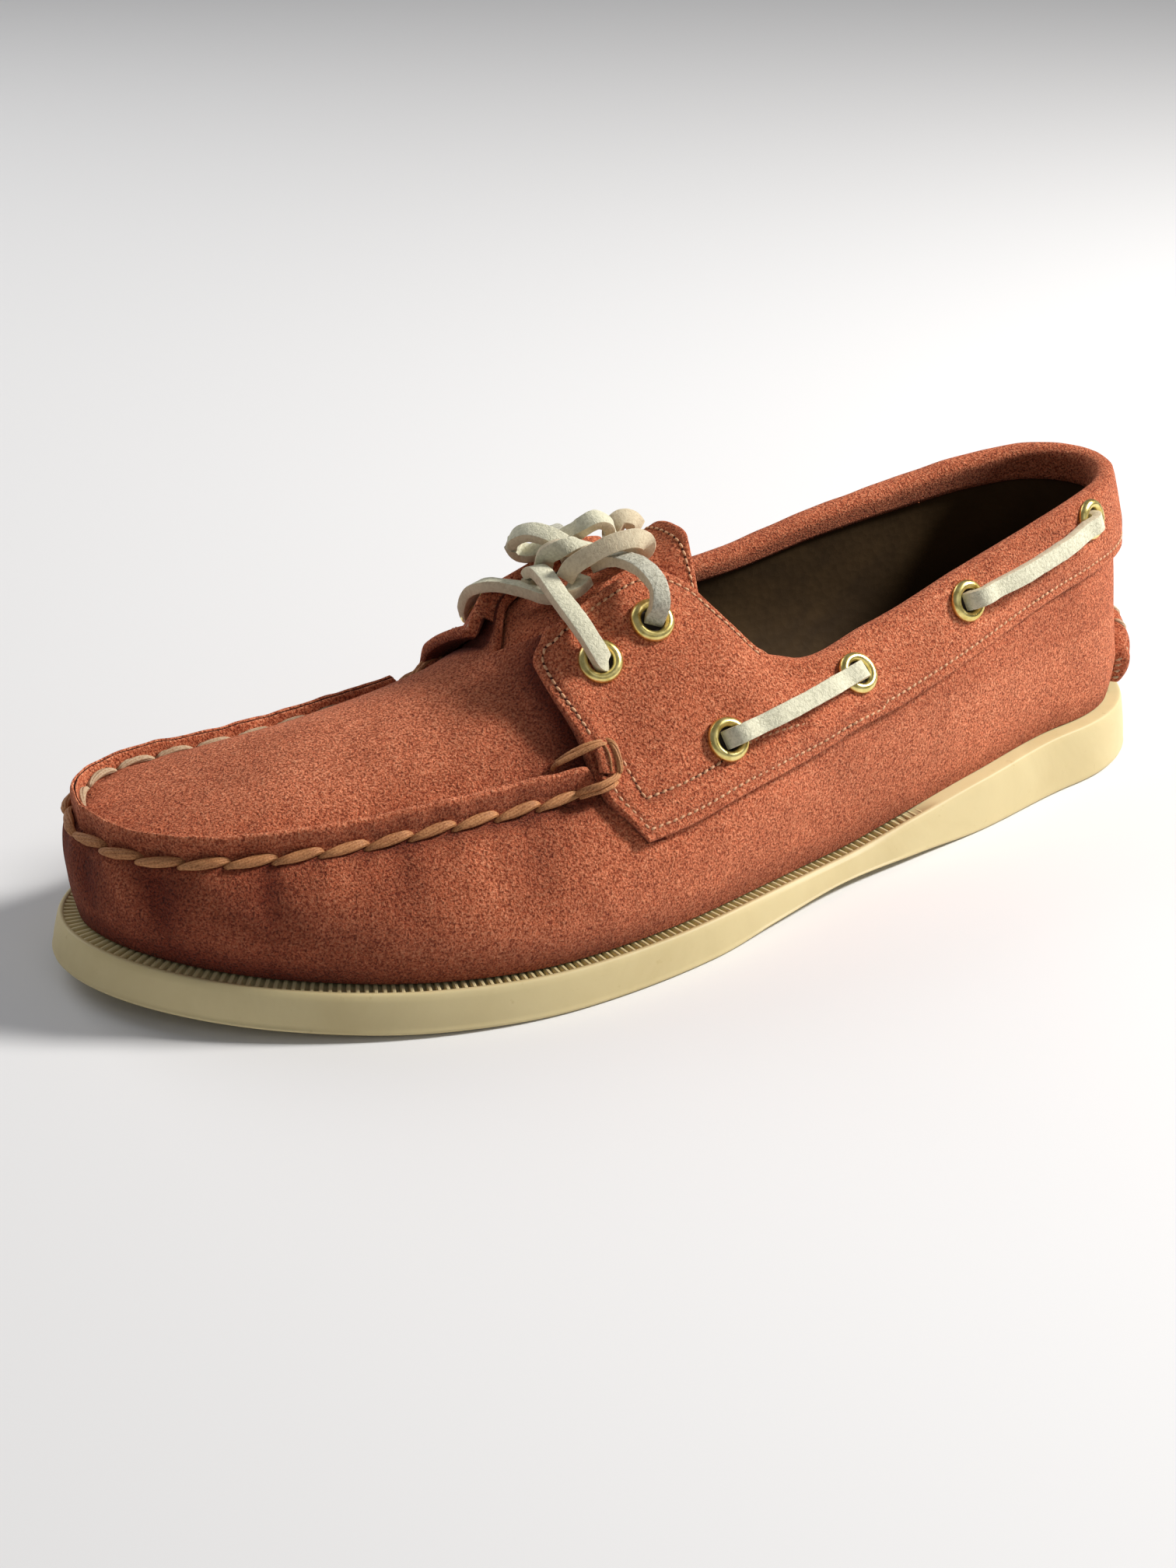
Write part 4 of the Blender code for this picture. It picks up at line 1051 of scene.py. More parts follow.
def stitch_rows():
    """Lines of (point, normal) that carry the machine stitches of both sides."""
    lines = []
    for side in (1, -1):
        def put(t, v):
            lines.append(above(t, v, side, PANEL-STITCH_SINK+from_front(t, v, side)[1]))

        def row_near_low(start, n, drop, front_drop):
            t = np.linspace(start, 0.64, n)
            v = band_low(t)+drop/slope_v(t, band_low(t), side)
            keep = (front_key(v, side)-t)*slope_t(t, v, side) > front_drop
            put(t[keep], v[keep])
            return v[keep][-1]

        def row_near_front(v, drop):
            front = front_key(v, side)
            return front-drop/slope_t(front, v, side)

        corner_low = row_near_low(0.0, 900, LOW_ROW, FRONT_ROW)
        corner_second = row_near_low(0.405, 500, SECOND_ROW, FRONT_SECOND)
        for start, end, drop in ((corner_low, 0.525, FRONT_ROW), (corner_second, 0.60, FRONT_SECOND)):
            v = np.linspace(start, end, 120)
            put(row_near_front(v, drop), v)
        v = np.linspace(0.665, 0.93, 240)
        tf = row_near_front(v, FRONT_ROW)
        t_top = np.linspace(tf[-1], COLLAR_RUNS_OUT[1], 400)
        v_top = BAND_TOP-THROAT_ROW/slope_v(t_top, 0.95, side)
        blend = rise(np.arange(400), 0, 30)
        v_top = v[-1]*(1-blend)+v_top*blend
        put(np.concatenate([tf, t_top[1:]]), np.concatenate([v, v_top[1:]]))
    return lines


def along_line(pts, normals, pitch):
    """Evenly spaced places along a line, with their directions."""
    g = run_along(pts)
    n = max(1, int(g[-1]/pitch))
    u = (np.arange(n)+0.5)*g[-1]/n
    at = lambda x, a: np.stack([np.interp(x, g, a[:, i]) for i in range(3)], -1)
    return at(u, pts), unit(at(u, normals)), unit(at(u+0.3*MM, pts)-at(u-0.3*MM, pts))


def sew(name, rows):
    """Machine stitches along rows of (points, normals), with dark marks of painted shade for the needle
    holes.
    """
    batch, hole_shade = Batch(), Batch()
    for pts, normals in rows:
        machine_row(batch, hole_shade, pts, normals)
    batch.piece(name+"_stitches", THREAD_FINE)
    hole_shade.piece(name+"_hole_shade", RECESS_SHADE)


def machine_row(batch, hole_shade, pts, normals):
    """Short sunk stitches along a line, with a dark mark between each two: painted shade for the needle
    hole.
    """
    centre, n, d = along_line(pts, normals, MACHINE_PITCH)
    k = np.linspace(-1, 1, 7)
    size = np.sqrt(np.clip(1.04-k*k*0.75, 0.1, 1))
    for i, (c, nn, dd) in enumerate(zip(centre, n, d)):
        w = np.cross(nn, dd)
        skew = 0.12+0.10*math.sin(i*2.4)
        line = c+np.outer(k*0.70*MM, dd+w*skew)+np.outer(0.17*MM-0.36*MM*k**4, nn)
        batch.tube(sweep(line, np.tile(nn, (7, 1)), circle(MACHINE_RADIUS, 6, 0.8), size))
        gap = c+dd*MACHINE_PITCH/2+np.outer(np.array([-0.42, -0.2, 0.2, 0.42])*MM, dd)-nn*0.06*MM
        hole_shade.tube(sweep(gap, np.tile(nn, (4, 1)), circle(MACHINE_RADIUS, 6, 0.5), (0.2, 1.0, 1.0, 0.2)))


def plied(batch, line, normals, radius, plies=6, turns=0.3, flat=0.8, taper=None):
    """Thick waxed thread: several strands wound round a line."""
    line = np.asarray(line, float)
    tan = unit(np.gradient(line, axis=0))
    w = unit(np.cross(tan, normals))
    n = unit(np.cross(w, tan))
    k = np.linspace(0, 1, len(line))
    size = np.ones(len(line)) if taper is None else taper
    for j in range(plies):
        a = 2*np.pi*(j/plies+turns*k)
        r = radius*0.58*size
        path = line+w*(np.cos(a)*r)[:, None]+n*(np.sin(a)*r*flat)[:, None]
        batch.tube(sweep(path, normals, circle(radius*0.42, 6), size))


def key_over_toe(arc, side):
    """Seam key at an arc length; below 0 it lies on the other side of the toe."""
    return np.where(arc >= 0, seam_key(np.abs(arc), side), seam_key(np.abs(arc), -side))


def build_seam_stitches():
    """Hand stitches round the ridge: long on the outside, short on the plug side."""
    batch = Batch()
    pale = Batch()
    for side in (1, -1):
        ends = seam_arc(np.array([front_key(np.array([SEAM]), side)[0]+0.012]), side)[0]
        first, last = (SEAM_SHIFT, ends+1.5*MM) if side > 0 else (SEAM_PITCH-SEAM_SHIFT, ends-3*MM)
        arcs = np.arange(first, last, SEAM_PITCH)
        for arc in arcs:
            k = np.linspace(0, 1, 12)
            here = arc+(k-0.5)*2*SEAM_PITCH*0.56
            key = key_over_toe(here, side)
            drop = SEAM_DROP+(0.5-k)*1.7*MM
            pts, nn = [], []
            for kk, h, dd in zip(key, here, drop):
                s = side if h >= 0 else -side
                v = SEAM-dd/slope_v(np.array(kk), np.array(SEAM-0.03), s)
                point, out = above(kk, v, s, wall_relief(kk, v, s))
                pts.append(point)
                nn.append(out)
            pts, nn = np.array(pts), np.array(nn)
            lift = 0.15*MM+1.15*MM*swell(k, 0.02, 0.7)-0.9*MM*(np.abs(2*k-1)**8)
            lean = k**1.25 if side > 0 else 1-(1-k)**1.25
            size = 0.28+0.72*swell(lean, 0.03, 0.6)
            plied(batch, pts+nn*lift[:, None], nn, 1.28*MM, 7, 0.30, 0.85, size)
            # short stitch lying in the corner between plug and ridge
            here = arc+SEAM_PITCH/2+(k-0.5)*SEAM_PITCH*0.92
            key = key_over_toe(here, side)
            v = SEAM+2.15*MM/slope_v(key, SEAM+0.03, side)
            q, m = surface(key, v, side), normal(key, v, side)
            size = 0.4+0.6*swell(k, 0.03, 0.6)
            if key.min() > ends_key(side)+0.004:
                lift = 0.35*MM+0.55*MM*np.sin(np.pi*k)-0.5*MM*np.abs(2*k-1)**6
                plied(pale, q+m*lift[:, None], m, 1.10*MM, 6, 0.2, 0.8, size)
    batch.piece("seam_stitches_outside", THREAD_TAN)
    pale.piece("seam_stitches_inside", THREAD_PALE)


def ends_key(side):
    x = RIDGE_START[side]+4*MM
    t = np.linspace(0.55, 0.8, 600)
    return float(t[np.argmin(np.abs(surface(t, SEAM, side)[:, 0]-x))])


# lashing at the outer end of the ring seam: key, height share, lift above the upper in mm
LASH_OVER = ((0.6560, 0.606, 0.6), (0.6535, 0.608, 1.7), (0.6495, 0.611, 2.5), (0.6400, 0.619, 3.6),
             (0.6310, 0.629, 4.6), (0.6235, 0.637, 4.9), (0.6190, 0.638, 4.1), (0.6175, 0.636, 2.8))
LASH_OVER_BACK = ((0.6520, 0.618, 0.6), (0.6480, 0.620, 1.8), (0.6390, 0.630, 3.2), (0.6300, 0.641, 4.1),
                  (0.6225, 0.647, 4.2), (0.6185, 0.645, 3.2))
LASH_SIDE = ((0.6190, 0.652, 2.6), (0.6170, 0.647, 4.0), (0.6155, 0.633, 5.0), (0.6150, 0.607, 5.4),
             (0.6150, 0.583, 5.4), (0.6160, 0.560, 4.8), (0.6185, 0.545, 3.4))
LASH_UNDER = ((0.6150, 0.560, 2.6), (0.6180, 0.545, 4.6), (0.6225, 0.532, 5.2), (0.6305, 0.521, 5.2),
              (0.6370, 0.520, 4.4), (0.6420, 0.526, 2.6), (0.6450, 0.532, 0.8))
LASH_UNDER_BACK = ((0.6170, 0.536, 2.6), (0.6230, 0.518, 4.0), (0.6310, 0.508, 4.1), (0.6380, 0.510, 3.2),
                   (0.6440, 0.516, 1.0))
# small band that the lashing holds, from above the seam end to below it
TAB = ((0.6235, 0.650, 2.4), (0.6225, 0.636, 3.8), (0.6220, 0.612, 4.5), (0.6220, 0.588, 4.5),
       (0.6228, 0.562, 4.1), (0.6240, 0.545, 3.0))
TAB_THREAD = ((0.6215, 0.640, 4.9), (0.6212, 0.615, 5.7), (0.6212, 0.590, 5.7), (0.6215, 0.566, 5.2))
LASH_DROP = 2.6              # mm by which the inner side's lashing lies lower


def build_lashing():
    """Waxed thread wound through the end of the ring seam, with the small band it holds."""
    batch, tabs = Batch(), Batch()
    ends = {s: front_key(np.array([SEAM]), s)[0] for s in (1, -1)}
    for side in (1, -1):
        shift = np.array([ends[side]-ends[1], 0, 0 if side > 0 else -LASH_DROP])
        for rows, radius in ((LASH_OVER, 0.70), (LASH_OVER_BACK, 0.60), (LASH_SIDE, 0.85),
                             (LASH_UNDER, 0.85), (LASH_UNDER_BACK, 0.60), (TAB_THREAD, 0.28)):
            line = spline(np.array(rows)+shift, 40)
            p, n = above(line[:, 0], line[:, 1], side, line[:, 2]*MM)
            k = np.linspace(0, 1, 40)
            plied(batch, p, n, radius*MM, 6, 1.2, 0.9,
                  0.55+0.45*swell(k, 0.04, 0.4))
        line = spline(np.array(TAB)+shift, 30)
        p, n = above(line[:, 0], line[:, 1], side, line[:, 2]*MM)
        k = np.linspace(0, 1, 30)
        tabs.tube(sweep(p, n, flat_section(4.6*MM, 1.9*MM, corner=0.8),
                        0.65+0.35*swell(k, 0.08, 0.4)))
    batch.piece("seam_lashing", THREAD_TAN)
    tabs.piece("seam_tabs", CORAL)


# heel patch
PATCH_HALF_WIDTH = 26*MM     # about its size, for the rounding of its edges
PATCH_HEIGHT = 18*MM
HEEL_THREAD = 0.75*MM        # radius


def patch_point(a, q, lift):
    """a runs -1 to 1 across the heel, q from the sole up."""
    out, nn = np.zeros(a.shape+(3,)), np.zeros(a.shape+(3,))
    for side in (1, -1):
        t = np.abs(a)*0.072
        v = 0.05+0.40*q*np.sqrt(1-0.80*a*a)
        p, n = above(t, v, side, lift)
        m = (a >= 0) if side > 0 else (a < 0)
        out[m], nn[m] = p[m], n[m]
    return out, nn


def build_heel_patch():
    a, q = np.meshgrid(np.linspace(-1, 1, 91), np.linspace(0, 1, 60), indexing="ij")
    edge = edge_round((1-np.abs(a))*PATCH_HALF_WIDTH, 2.4*MM)*edge_round((1-q)*PATCH_HEIGHT, 3.4*MM)
    lift = 0.1*MM+HEEL_PATCH_THICK*edge*(1.15+0.75*swell(q, 0, 0.8))
    lift = lift-0.5*MM*(bell(np.abs(a)-0.86, 0.05)+bell(q-0.80, 0.06))*edge
    lift = lift+0.2*MM*wobble(a*6, 0.4)*wobble(q*5, 1.2)*edge
    pts, _ = patch_point(a, q, lift)
    mesh = mesh_of("heel_guard", pts, grid_faces(*a.shape))
    link("heel_guard", mesh, CORAL, node="heel_patch")
    batch = Batch()
    k = np.linspace(-1, 1, 12)
    size = 0.5+0.5*np.sqrt(np.clip(1-k**4, 0, 1))
    lift = (0.4+1.0*(k+1)+1.3*(1-k*k)**0.5)*MM
    for s in (1, -1):
        for at in np.linspace(0.16, 0.70, 4):
            p, n = patch_point(s*(0.985-0.13*(k+1)/2), np.full(12, at)+0.03*k, lift)
            plied(batch, p, n, HEEL_THREAD, 6, 0.3, 0.8, size)
    for at in np.linspace(-0.66, 0.66, 7):
        p, n = patch_point(np.full(12, at)+0.02*k, 0.99-0.17*(k+1)/2, lift)
        plied(batch, p, n, HEEL_THREAD, 6, 0.3, 0.8, size)
    batch.piece("heel_stitches", THREAD_PALE)


# tongue
FREE_ROW = 62                # grid row where the stitching of its free end starts


def tongue_face():
    """The tongue's upper face, as a coarse grid resampled finely."""
    keys = (0.7159, 0.6956, 0.6753, 0.655, 0.6385, 0.6219, 0.6054, 0.5888, 0.5723, 0.5558)
    shares = np.array((0.74, 0.80, 0.86, 0.93, 1.0))
    rows = []
    for t in keys:
        half = []
        for side in (1, -1):
            tt = np.full(len(shares), t)
            base, nn = surface(tt, shares, side), normal(tt, shares, side)
            if t >= SPINE-1e-6:
                nn[-1] = unit(np.array([0.38, 0, 1.0]))
            half.append(base-nn*(WALL+TONGUE_SEAT))
        outer, inner = half
        if t >= SPINE-1e-6:
            mid = (outer[-1]+inner[-1])/2
            outer, inner = outer[:-1], inner[:-1]
            rows.append([*outer, outer[-1]*0.5+mid*0.5, mid, inner[-1]*0.5+mid*0.5, *inner[::-1]])
        else:
            mid = (outer[-1]+inner[-1])/2+np.array([0, 0, 0.9*MM])
            rows.append([*outer, mid, *inner[::-1]])
    last = np.array(rows[-1])
    centre = last[len(last)//2]
    for back, lift, narrow, aside in ((4.5, 1.8, 0.88, 0.6), (8.5, 4.2, 0.88, 1.6), (11.5, 6.4, 0.84, 2.4),
                                      (13.5, 8.2, 0.72, 2.8)):
        r = centre+(last-centre)*np.array([1, narrow, 1])
        share = (np.abs(last[:, 1]-centre[1])/np.abs(last[:, 1]-centre[1]).max())**2
        rows.append(list(r+np.array([-back*MM, aside*MM, 0])+np.outer(1-0.45*share, [0, 0, lift*MM])))
    g = np.array(rows)
    i = np.linspace(0, g.shape[0]-1, 120)
    j = np.linspace(0, g.shape[1]-1, 72)
    fine = np.stack([through(i, np.arange(g.shape[0]), g[:, c, d])
                     for c in range(g.shape[1]) for d in range(3)], -1)
    fine = fine.reshape(len(i), g.shape[1], 3)
    return np.stack([np.stack([through(j, np.arange(g.shape[1]), row[:, d]) for d in range(3)], -1)
                     for row in fine])


def build_tongue():
    face = tongue_face()
    d_len, d_wid = np.gradient(face, axis=0), np.gradient(face, axis=1)
    n = unit(np.cross(d_wid, d_len))
    n = np.where(n[..., 2:3] < 0, -n, n)
    rows, cols = face.shape[:2]
    step = np.linalg.norm(np.diff(face, axis=1), axis=-1)
    across = np.concatenate([np.zeros((rows, 1)), np.cumsum(step, 1)], 1)
    d_side = np.minimum(across, across[:, -1:]-across)
    step = np.linalg.norm(np.diff(face, axis=0), axis=-1)
    length = np.concatenate([np.zeros((1, cols)), np.cumsum(step, 0)], 0)
    d_end = length[-1:]-length
    d = np.minimum(d_side, d_end)
    edge = edge_round(d, EDGE_RADIUS)
    free = rise(np.arange(rows), 60, 75)[:, None]
    lift = -0.5*TONGUE_THICK*(1-edge)-0.3*MM*bell(d-3.2*MM, 0.9*MM)*free
    i, j = np.meshgrid(np.arange(rows), np.arange(cols), indexing="ij")
    lift = lift+0.25*MM*wobble(i*0.09, 0.5)*wobble(j*0.12, 1.1)
    topside = face+n*lift[..., None]
    under = face-n*(TONGUE_THICK-0.5*TONGUE_THICK*(1-edge))[..., None]
    count = rows*cols
    faces = grid_faces(rows, cols)+grid_faces(rows, cols, start=count)
    pts = np.concatenate([topside.reshape(-1, 3), under.reshape(-1, 3)])
    ring = [(0, j) for j in range(cols)]+[(i, cols-1) for i in range(1, rows)]
    ring += [(rows-1, j) for j in range(cols-2, -1, -1)]+[(i, 0) for i in range(rows-2, 0, -1)]
    for (a, b), (c, e) in zip(ring, ring[1:]+ring[:1]):
        faces.append((a*cols+b, c*cols+e, count+c*cols+e, count+a*cols+b))
    link("tongue_pad", mesh_of("tongue_pad", pts, faces), CORAL, node="tongue")
    # stitch row down one side, round the free end and up the other
    sides = [i for i in range(FREE_ROW, rows) if d_end[i, cols//2] > TONGUE_ROW]
    turn = np.argmin(np.abs(d_end[:, cols//2]-TONGUE_ROW))
    spots = [(i, np.argmin(np.abs(across[i]-TONGUE_ROW))) for i in sides]
    spots += [(turn, j) for j in range(cols) if d_side[turn, j] > TONGUE_ROW]
    spots += [(i, np.argmin(np.abs(across[i]-(across[i, -1]-TONGUE_ROW)))) for i in sides[::-1]]
    i, j = np.array(spots).T
    sew("tongue", [(topside[i, j], n[i, j])])


# eyelets, laces
def saddle_seat(t, v, side, extra=0.0):
    t, v = np.atleast_1d(float(t)), np.atleast_1d(float(v))
    n = normal(t, v, side)
    return surface(t, v, side)[0]+n[0]*(SEAT+SADDLE_THICK+extra), n[0]


# rim of an eyelet: radius and height above its seat, in mm
EYELET_PROFILE = ((2.80, -0.70), (2.80, 0.10), (2.95, 0.72), (3.25, 1.12), (3.70, 1.30), (4.20, 1.22),
                  (4.65, 0.98), (5.00, 0.62), (5.18, 0.20), (5.20, -0.35), (4.9, -0.75))
EYELET_SEGMENTS = 56
EYELET_SEATS = {}


def disc_axes(n):
    """Two directions at right angles to n and to each other."""
    ref = unit(np.cross(n, np.array([0.0, 0.0, 1.0])))
    return ref, np.cross(n, ref)


def build_eyelets():
    for row in EYELET_ROWS:
        for side, tag, a in ((1, "outer", 1), (-1, "inner", 3)):
            lift = (3.2 if row[0] == "side2" else 2.2)*GAP
            p, n = saddle_seat(row[a], row[a+1], side, lift)
            EYELET_SEATS[(row[0], side)] = (p, n)
            ref, oth = disc_axes(n)
            m = EYELET_SEGMENTS
            pts = []
            for i in range(m):
                an = 2*np.pi*i/m
                radial = ref*math.cos(an)+oth*math.sin(an)
                for r, h in EYELET_PROFILE:
                    knurl = 0.035*math.cos(an*28) if 3.6 < r < 5.1 else 0.0
                    pts.append(p+radial*(r*MM)+n*((h+knurl)*MM))
            c = len(EYELET_PROFILE)
            f = [(i*c+j, i*c+j+1, ((i+1) % m)*c+j+1, ((i+1) % m)*c+j)
                 for i in range(m) for j in range(c-1)]
            name = f"eyelet_{row[0]}_{tag}"
            link(name+"_ring", mesh_of(name+"_ring", pts, f), BRASS, node=name)
    # a dark disc under each eyelet stands for the hole: painted shade
    pts, f = [], []
    for p, n in EYELET_SEATS.values():
        ref, oth = disc_axes(n)
        start = len(pts)
        pts += [p+(ref*math.cos(a)+oth*math.sin(a))*3.0*MM-n*0.35*MM
                for a in np.linspace(0, 2*np.pi, 24, endpoint=False)]
        f.append(tuple(range(start, start+24)))
    link("eyelet_hole_shade", mesh_of("eyelet_hole_shade", pts, f), EYELET_HOLE_SHADE, smooth=False)


LACE_CUT_FACES = (10, 11, 0, 4, 5, 6)   # faces round the section that lie on the cut edges


def lace(name, line, facing, nodes=(), rough=0.035, face=None):
    """Flat cut lace along a line; returns the object."""
    line = np.asarray(line, float)
    g = run_along(line)
    size = 1+rough*wobble(g*420, 0.3)+rough*0.35*wobble(g*1900, 1.7)
    section = flat_section(LACE_WIDTH, LACE_THICK, corner=0.28)
    ring = sweep(line, facing, section, size)
    m = len(section)
    faces = tube_faces(len(line), m)
    slots = [(1 if (i % m) in LACE_CUT_FACES else 0) for i in range((len(line)-1)*m)]+[0, 0]
    ob = link(name, mesh_of(name, ring, faces, slots), [face or LACE_FACE, LACE_CUT], node=nodes)
    ob.data.set_sharp_from_angle(angle=math.radians(32))
    return ob


def build_side_laces():
    for side, tag in ((1, "outer"), (-1, "inner")):
        for first, second, name in (("side1", "side2", "front"), ("side3", "side4", "back")):
            (a, na), (b, nb) = EYELET_SEATS[(first, side)], EYELET_SEATS[(second, side)]
            pa, pb = a+na*0.3*MM, b+nb*0.3*MM
            span = np.linalg.norm(pb-pa)
            d = np.array([0, 0.5, 2.8, 7.0])*MM/span
            keys = np.concatenate([d, [0.30, 0.42, 0.5, 0.58, 0.70], 1-d[::-1]])
            rest = EYELET_RISE+LACE_THICK/2+0.45*MM
            up = np.array([-0.6*MM, 1.7*MM, rest+0.35*MM, rest+0.1*MM])
            mid = rest+(0.6+4.0*keys[4:9]*(1-keys[4:9]))*MM
            high = np.concatenate([up, mid, up[::-1]])
            k = np.linspace(0, len(keys)-1, 90)
            i = np.arange(len(keys))
            kk, hh = through(k, i, keys), through(k, i, high)
            nn = unit(na+(nb-na)*kk[:, None])
            sag = 0.7*MM*np.sin(np.pi*np.clip(kk, 0, 1))
            line = pa+(pb-pa)*kk[:, None]+nn*hh[:, None]-np.outer(sag, [0, 0, 1])
            lace(f"lace_run_{tag}_{name}", line, nn, nodes=f"lace_{tag}_{name}")


# routes of the front lace and the bow in mm, the same as the CAD's
RUN_LOW_OUTER = (
    (32.1, 21.6, 62.8), (34.8, 24.1, 66.9), (37.1, 19.9, 73.2), (36.2, 10.5, 76.1),
    (34.6, 2.3, 77.8), (33.8, -2.7, 78.0), (33.5, -5.6, 76.2), (33.4, -5.5, 73.9))
RUN_LOW_INNER = (
    (38.0, -24.5, 60.3), (39.8, -22.6, 64.1), (41.1, -18.3, 69.3), (41.3, -12.2, 72.8),
    (38.2, -7.5, 73.4), (35.2, -2.3, 73.3), (33.2, 3.2, 73.5), (30.0, 6.0, 75.3),
    (26.1, 5.1, 77.2))
RUN_UP_OUTER = (
    (18.6, 20.8, 69.7), (18.9, 24.0, 75.7), (18.7, 22.9, 80.0), (19.0, 18.5, 82.4),
    (19.7, 13.5, 82.9), (21.0, 8.7, 82.1), (22.0, 4.2, 79.2))
RUN_UP_INNER = (
    (17.5, -23.6, 69.0), (18.0, -23.4, 73.5), (19.0, -19.6, 79.0), (20.8, -13.6, 80.4),
    (23.0, -7.4, 79.8), (24.6, -2.5, 78.8))
BOW = {
    "lace_knot": (
        (29.7, -6.2, 77.5), (30.6, -3.4, 81.1), (28.8, -0.6, 83.2), (24.7, 1.0, 83.4),
        (19.6, -0.7, 81.1)),
    "lace_loop_near": (
        (30.5, 4.0, 78.1), (29.7, 5.5, 81.1), (26.4, 7.7, 84.0), (21.9, 9.7, 86.4),
        (16.7, 10.6, 86.9), (12.5, 9.4, 84.8), (11.3, 6.8, 81.4), (12.7, 2.7, 79.5),
        (15.8, 0.3, 79.7)),
    "lace_end_near": (
        (9.9, -7.4, 79.2), (10.1, -6.7, 82.3), (8.2, -6.3, 84.3), (5.7, -5.5, 83.9),
        (4.0, -5.6, 81.6)),
    "lace_loop_far": (
        (26.1, -3.7, 82.5), (27.8, -7.0, 83.7), (29.9, -11.5, 83.7), (31.2, -15.3, 81.6),
        (30.6, -17.2, 78.5), (28.8, -16.3, 76.9), (27.2, -12.9, 77.9)),
    "lace_end_far": (
        (22.2, -6.6, 83.1), (20.5, -4.1, 85.7), (17.7, -2.9, 87.2), (14.4, -3.5, 85.4),
        (12.4, -4.4, 82.6)),
}


def route(points, n):
    return spline(np.array(points, float)*MM, n)


def build_front_lace():
    """The runs from the front eyelets that cross under the knot, as one mesh set."""
    up = np.array([0, 0, 1.0])
    first = None
    for name, points, seat in (("low_outer", RUN_LOW_OUTER, ("low", 1)),
                               ("low_inner", RUN_LOW_INNER, ("low", -1)),
                               ("up_outer", RUN_UP_OUTER, ("up", 1)),
                               ("up_inner", RUN_UP_INNER, ("up", -1))):
        line = route(points, 90)
        n = EYELET_SEATS[seat][1]
        w = np.linspace(0, 1, 90)[:, None]
        fleshy = "up" in name
        ob = lace("lace_front_"+name, line, unit(n*(1-w)+up*w), rough=0.06 if fleshy else 0.03,
                  nodes="lace_front" if first is None else (), face=LACE_FLESH if fleshy else None)
        first = first or ob


def facing_of(line, hint):
    """Normals at right angles to the line, turning with it, near the hinted direction."""
    tan = unit(np.gradient(line, axis=0))
    h = np.broadcast_to(hint, line.shape)
    return unit(h-tan*(h*tan).sum(-1)[:, None])


def build_bow():
    camera_side = unit(np.array([0.55, 0.72, 0.0]))
    up = np.array([0, 0, 1.0])
    line = route(BOW["lace_knot"], 80)
    k = np.linspace(0, 1, 80)[:, None]
    hint = unit(camera_side*(1-rise(k, 0.45, 0.75))+up*rise(k, 0.35, 0.65))
    knot = lace("lace_knot_wrap", line, facing_of(line, hint), nodes="lace_knot", rough=0.04)
    line = route(BOW["lace_loop_near"]+BOW["lace_end_near"], 170)
    k = np.linspace(0, 1, 170)[:, None]
    hint = unit(camera_side*0.9+up*(0.35+0.9*rise(k, 0.75, 0.9)))
    ob = lace("lace_bow_near", line, facing_of(line, hint), nodes=("lace_loop_near", "lace_end_near"),
              rough=0.04, face=LACE_CUT)
    line = route(BOW["lace_loop_far"]+BOW["lace_end_far"], 150)
    hint = unit(camera_side*0.5+up*0.9)
    ob = lace("lace_bow_far", line, facing_of(line, hint), nodes=("lace_loop_far", "lace_end_far"),
              rough=0.04)


# sole
LIP = 1.1*MM                 # flat rim outside the ribs
RIB_DROP = 1.1*MM
RIB_WIDTH = 1.0*MM


def ribbed(x):
    """1 where the ledge carries ribs, fading out behind the waist."""
    return rise(x, -62*MM, -40*MM)


def build_sole():
    s = (1-np.cos(np.linspace(0, np.pi, 361)))/2
    s = np.clip(s, 1e-5, 1-1e-5)
    halves = []
    for side in (1, -1):
        x0, _ = sole_plan(s, side)
        low, rim = under_z(x0), rim_z(x0)
        led = ledge(x0)
        cut = RIB_DROP*ribbed(x0)
        rows = [(14.0*MM, low), (3.0*MM, low), (1.2*MM, low), (0.5*MM, low+0.12*MM),
                (0.15*MM, low+0.42*MM), (0.0*MM, low+0.95*MM)]
        for f in np.linspace(0.12, 0.92, 9):
            bulge = 0.22*MM*math.sin(math.pi*f)
            rows.append((FLARE*f-bulge, low+(rim-low)*f))
        rows += [(FLARE+0.02*MM, rim-0.45*MM), (FLARE+0.18*MM, rim-0.12*MM), (FLARE+0.45*MM, rim),
                 (FLARE+LIP, rim), (FLARE+LIP+0.12*MM, rim-cut),
                 (led.mean()+1.0*MM, rim-cut), (led.mean()+8.0*MM, rim-cut*0.5)]
        halves.append(np.array([np.stack([*sole_plan(s, side, inset), z], -1) for inset, z in rows]))
    ring = ring_of(*halves)
    rows, cols = ring.shape[:2]
    faces = grid_faces(rows, cols, closed=True)
    n = len(s)
    for row in (0, rows-1):
        for j in range(n-1):
            a, b = row*cols+j, row*cols+j+1
            c, d = row*cols+(cols-j) % cols, row*cols+(cols-j-1) % cols
            loop = [a, b, d, c]
            loop = [q for i, q in enumerate(loop) if q not in loop[:i]]
            if len(loop) > 2:
                faces.append(tuple(loop if row else loop[::-1]))
    link("outsole", mesh_of("outsole", ring, faces), CREAM, node="sole", slot="rubber_cream")


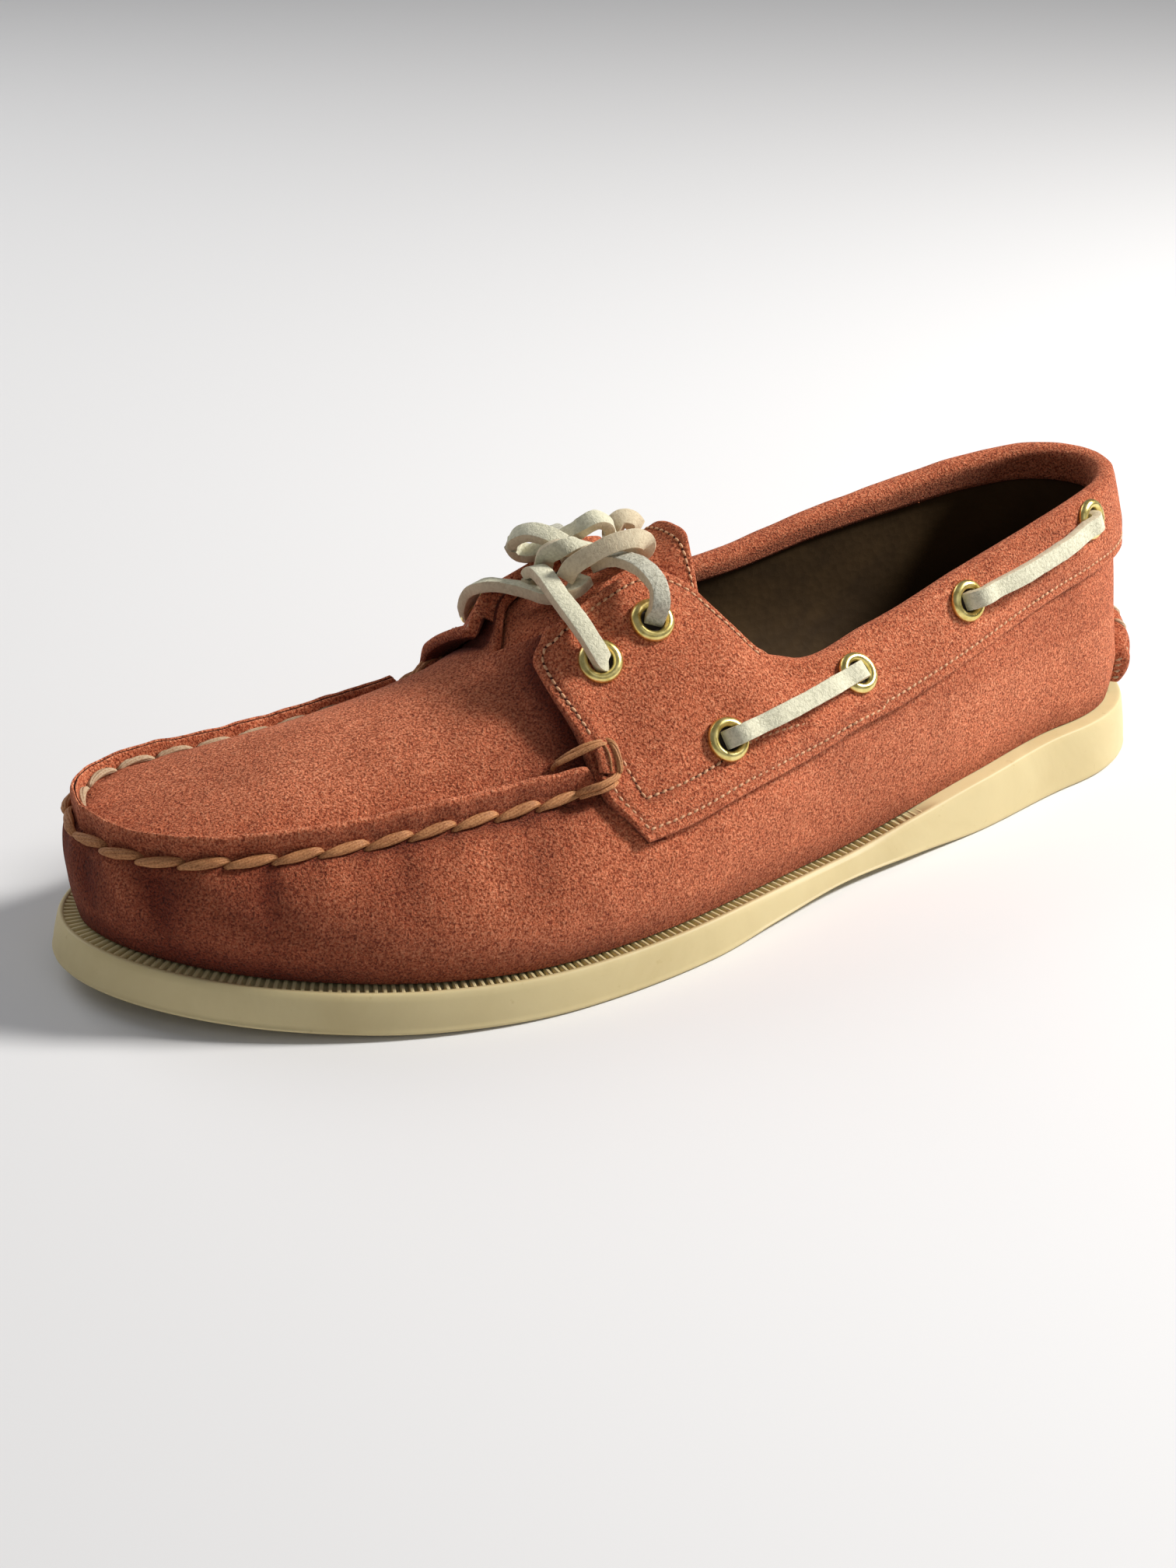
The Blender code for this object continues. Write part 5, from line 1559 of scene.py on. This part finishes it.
def build_ribs():
    batch = Batch()
    for side in (1, -1):
        s = (1-np.cos(np.linspace(0, np.pi, 1601)))/2
        x, y = sole_plan(s, side)
        g = np.concatenate([[0], np.cumsum(np.hypot(np.diff(x), np.diff(y)))])
        total = g[-1]
        for i in range(int(total/RIB_PITCH)):
            at = total-(i+0.5)*RIB_PITCH
            xx = float(np.interp(at, g, x))
            strength = float(ribbed(np.array(xx)))
            if strength < 0.05:
                continue
            t = np.array(at/total)
            px, py, n = along(sole_plan, t, side)
            n = n/np.linalg.norm(n)
            led = float(ledge(np.array(xx)))
            r0, r1 = FLARE+LIP-0.15*MM, led+1.2*MM
            top_z = float(rim_z(np.array(xx)))
            k = np.array([r0, r0+0.25*MM, (r0+r1)/2, r1])
            line = np.stack([px-n[0]*k, py-n[1]*k, np.full(4, top_z-RIB_DROP*0.62)], -1)
            line[:, 2] += np.array([0.02, 0.05, 0.02, 0.0])*MM
            half = RIB_WIDTH/2*(0.7+0.3*strength)
            sec = [(half, -0.5*MM), (half*0.92, 0.32*MM), (half*0.45, 0.52*MM), (-half*0.45, 0.52*MM),
                   (-half*0.92, 0.32*MM), (-half, -0.5*MM)]
            batch.tube(sweep(line, np.tile([0, 0, 1.0], (4, 1)), sec))
    batch.piece("ledge_ribs", CREAM, smooth=False, slot="rubber_cream")


def finish_insole():
    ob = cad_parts["insole"]
    if len(ob.material_slots) == 0:
        ob.data.materials.append(NAVY)
    for s in ob.material_slots:
        s.material = NAVY


# floor and light
def area(name, where, towards, size, power, colour=(1, 1, 1)):
    data = bpy.data.lights.new(name, "AREA")
    data.energy = power
    data.size = size
    data.color = colour
    ob = bpy.data.objects.new(name, data)
    bpy.context.scene.collection.objects.link(ob)
    ob.location = where
    ob.rotation_mode = "QUATERNION"
    ob.rotation_quaternion = (Vector(towards)-Vector(where)).to_track_quat("-Z", "Y")


def build_stage():
    mesh = bpy.data.meshes.new("floor")
    r = 6.0
    mesh.from_pydata([(-r, -r, 0), (r, -r, 0), (r, r, 0), (-r, r, 0)], [], [(0, 1, 2, 3)])
    ob = bpy.data.objects.new("floor", mesh)
    bpy.context.scene.collection.objects.link(ob)
    mesh.materials.append(plain("floor_pale", (0.76, 0.76, 0.765), 0.8, 0.1))
    world = bpy.data.worlds.new("studio")
    world.use_nodes = True
    bg = world.node_tree.nodes["Background"]
    bg.inputs["Color"].default_value = (0.93, 0.95, 1.0, 1)
    bg.inputs["Strength"].default_value = 0.19
    bpy.context.scene.world = world
    area("key", (-0.88, 0.42, 0.85), (0.0, 0.0, 0.04), 0.24, 23.0, (1.0, 0.975, 0.94))
    area("fill", (0.20, 1.05, 0.75), (0.02, 0.0, 0.04), 0.7, 0.8)
    area("back", (0.30, -0.9, 0.7), (0.0, 0.0, 0.05), 0.8, 4.0)


bpy.context.scene.view_settings.view_transform = "Standard"
build_upper()
build_lining()
build_saddle()
sew("machine", stitch_rows())
build_seam_stitches()
build_lashing()
build_heel_patch()
build_tongue()
build_eyelets()
build_side_laces()
build_front_lace()
build_bow()
build_sole()
build_ribs()
finish_insole()
build_stage()
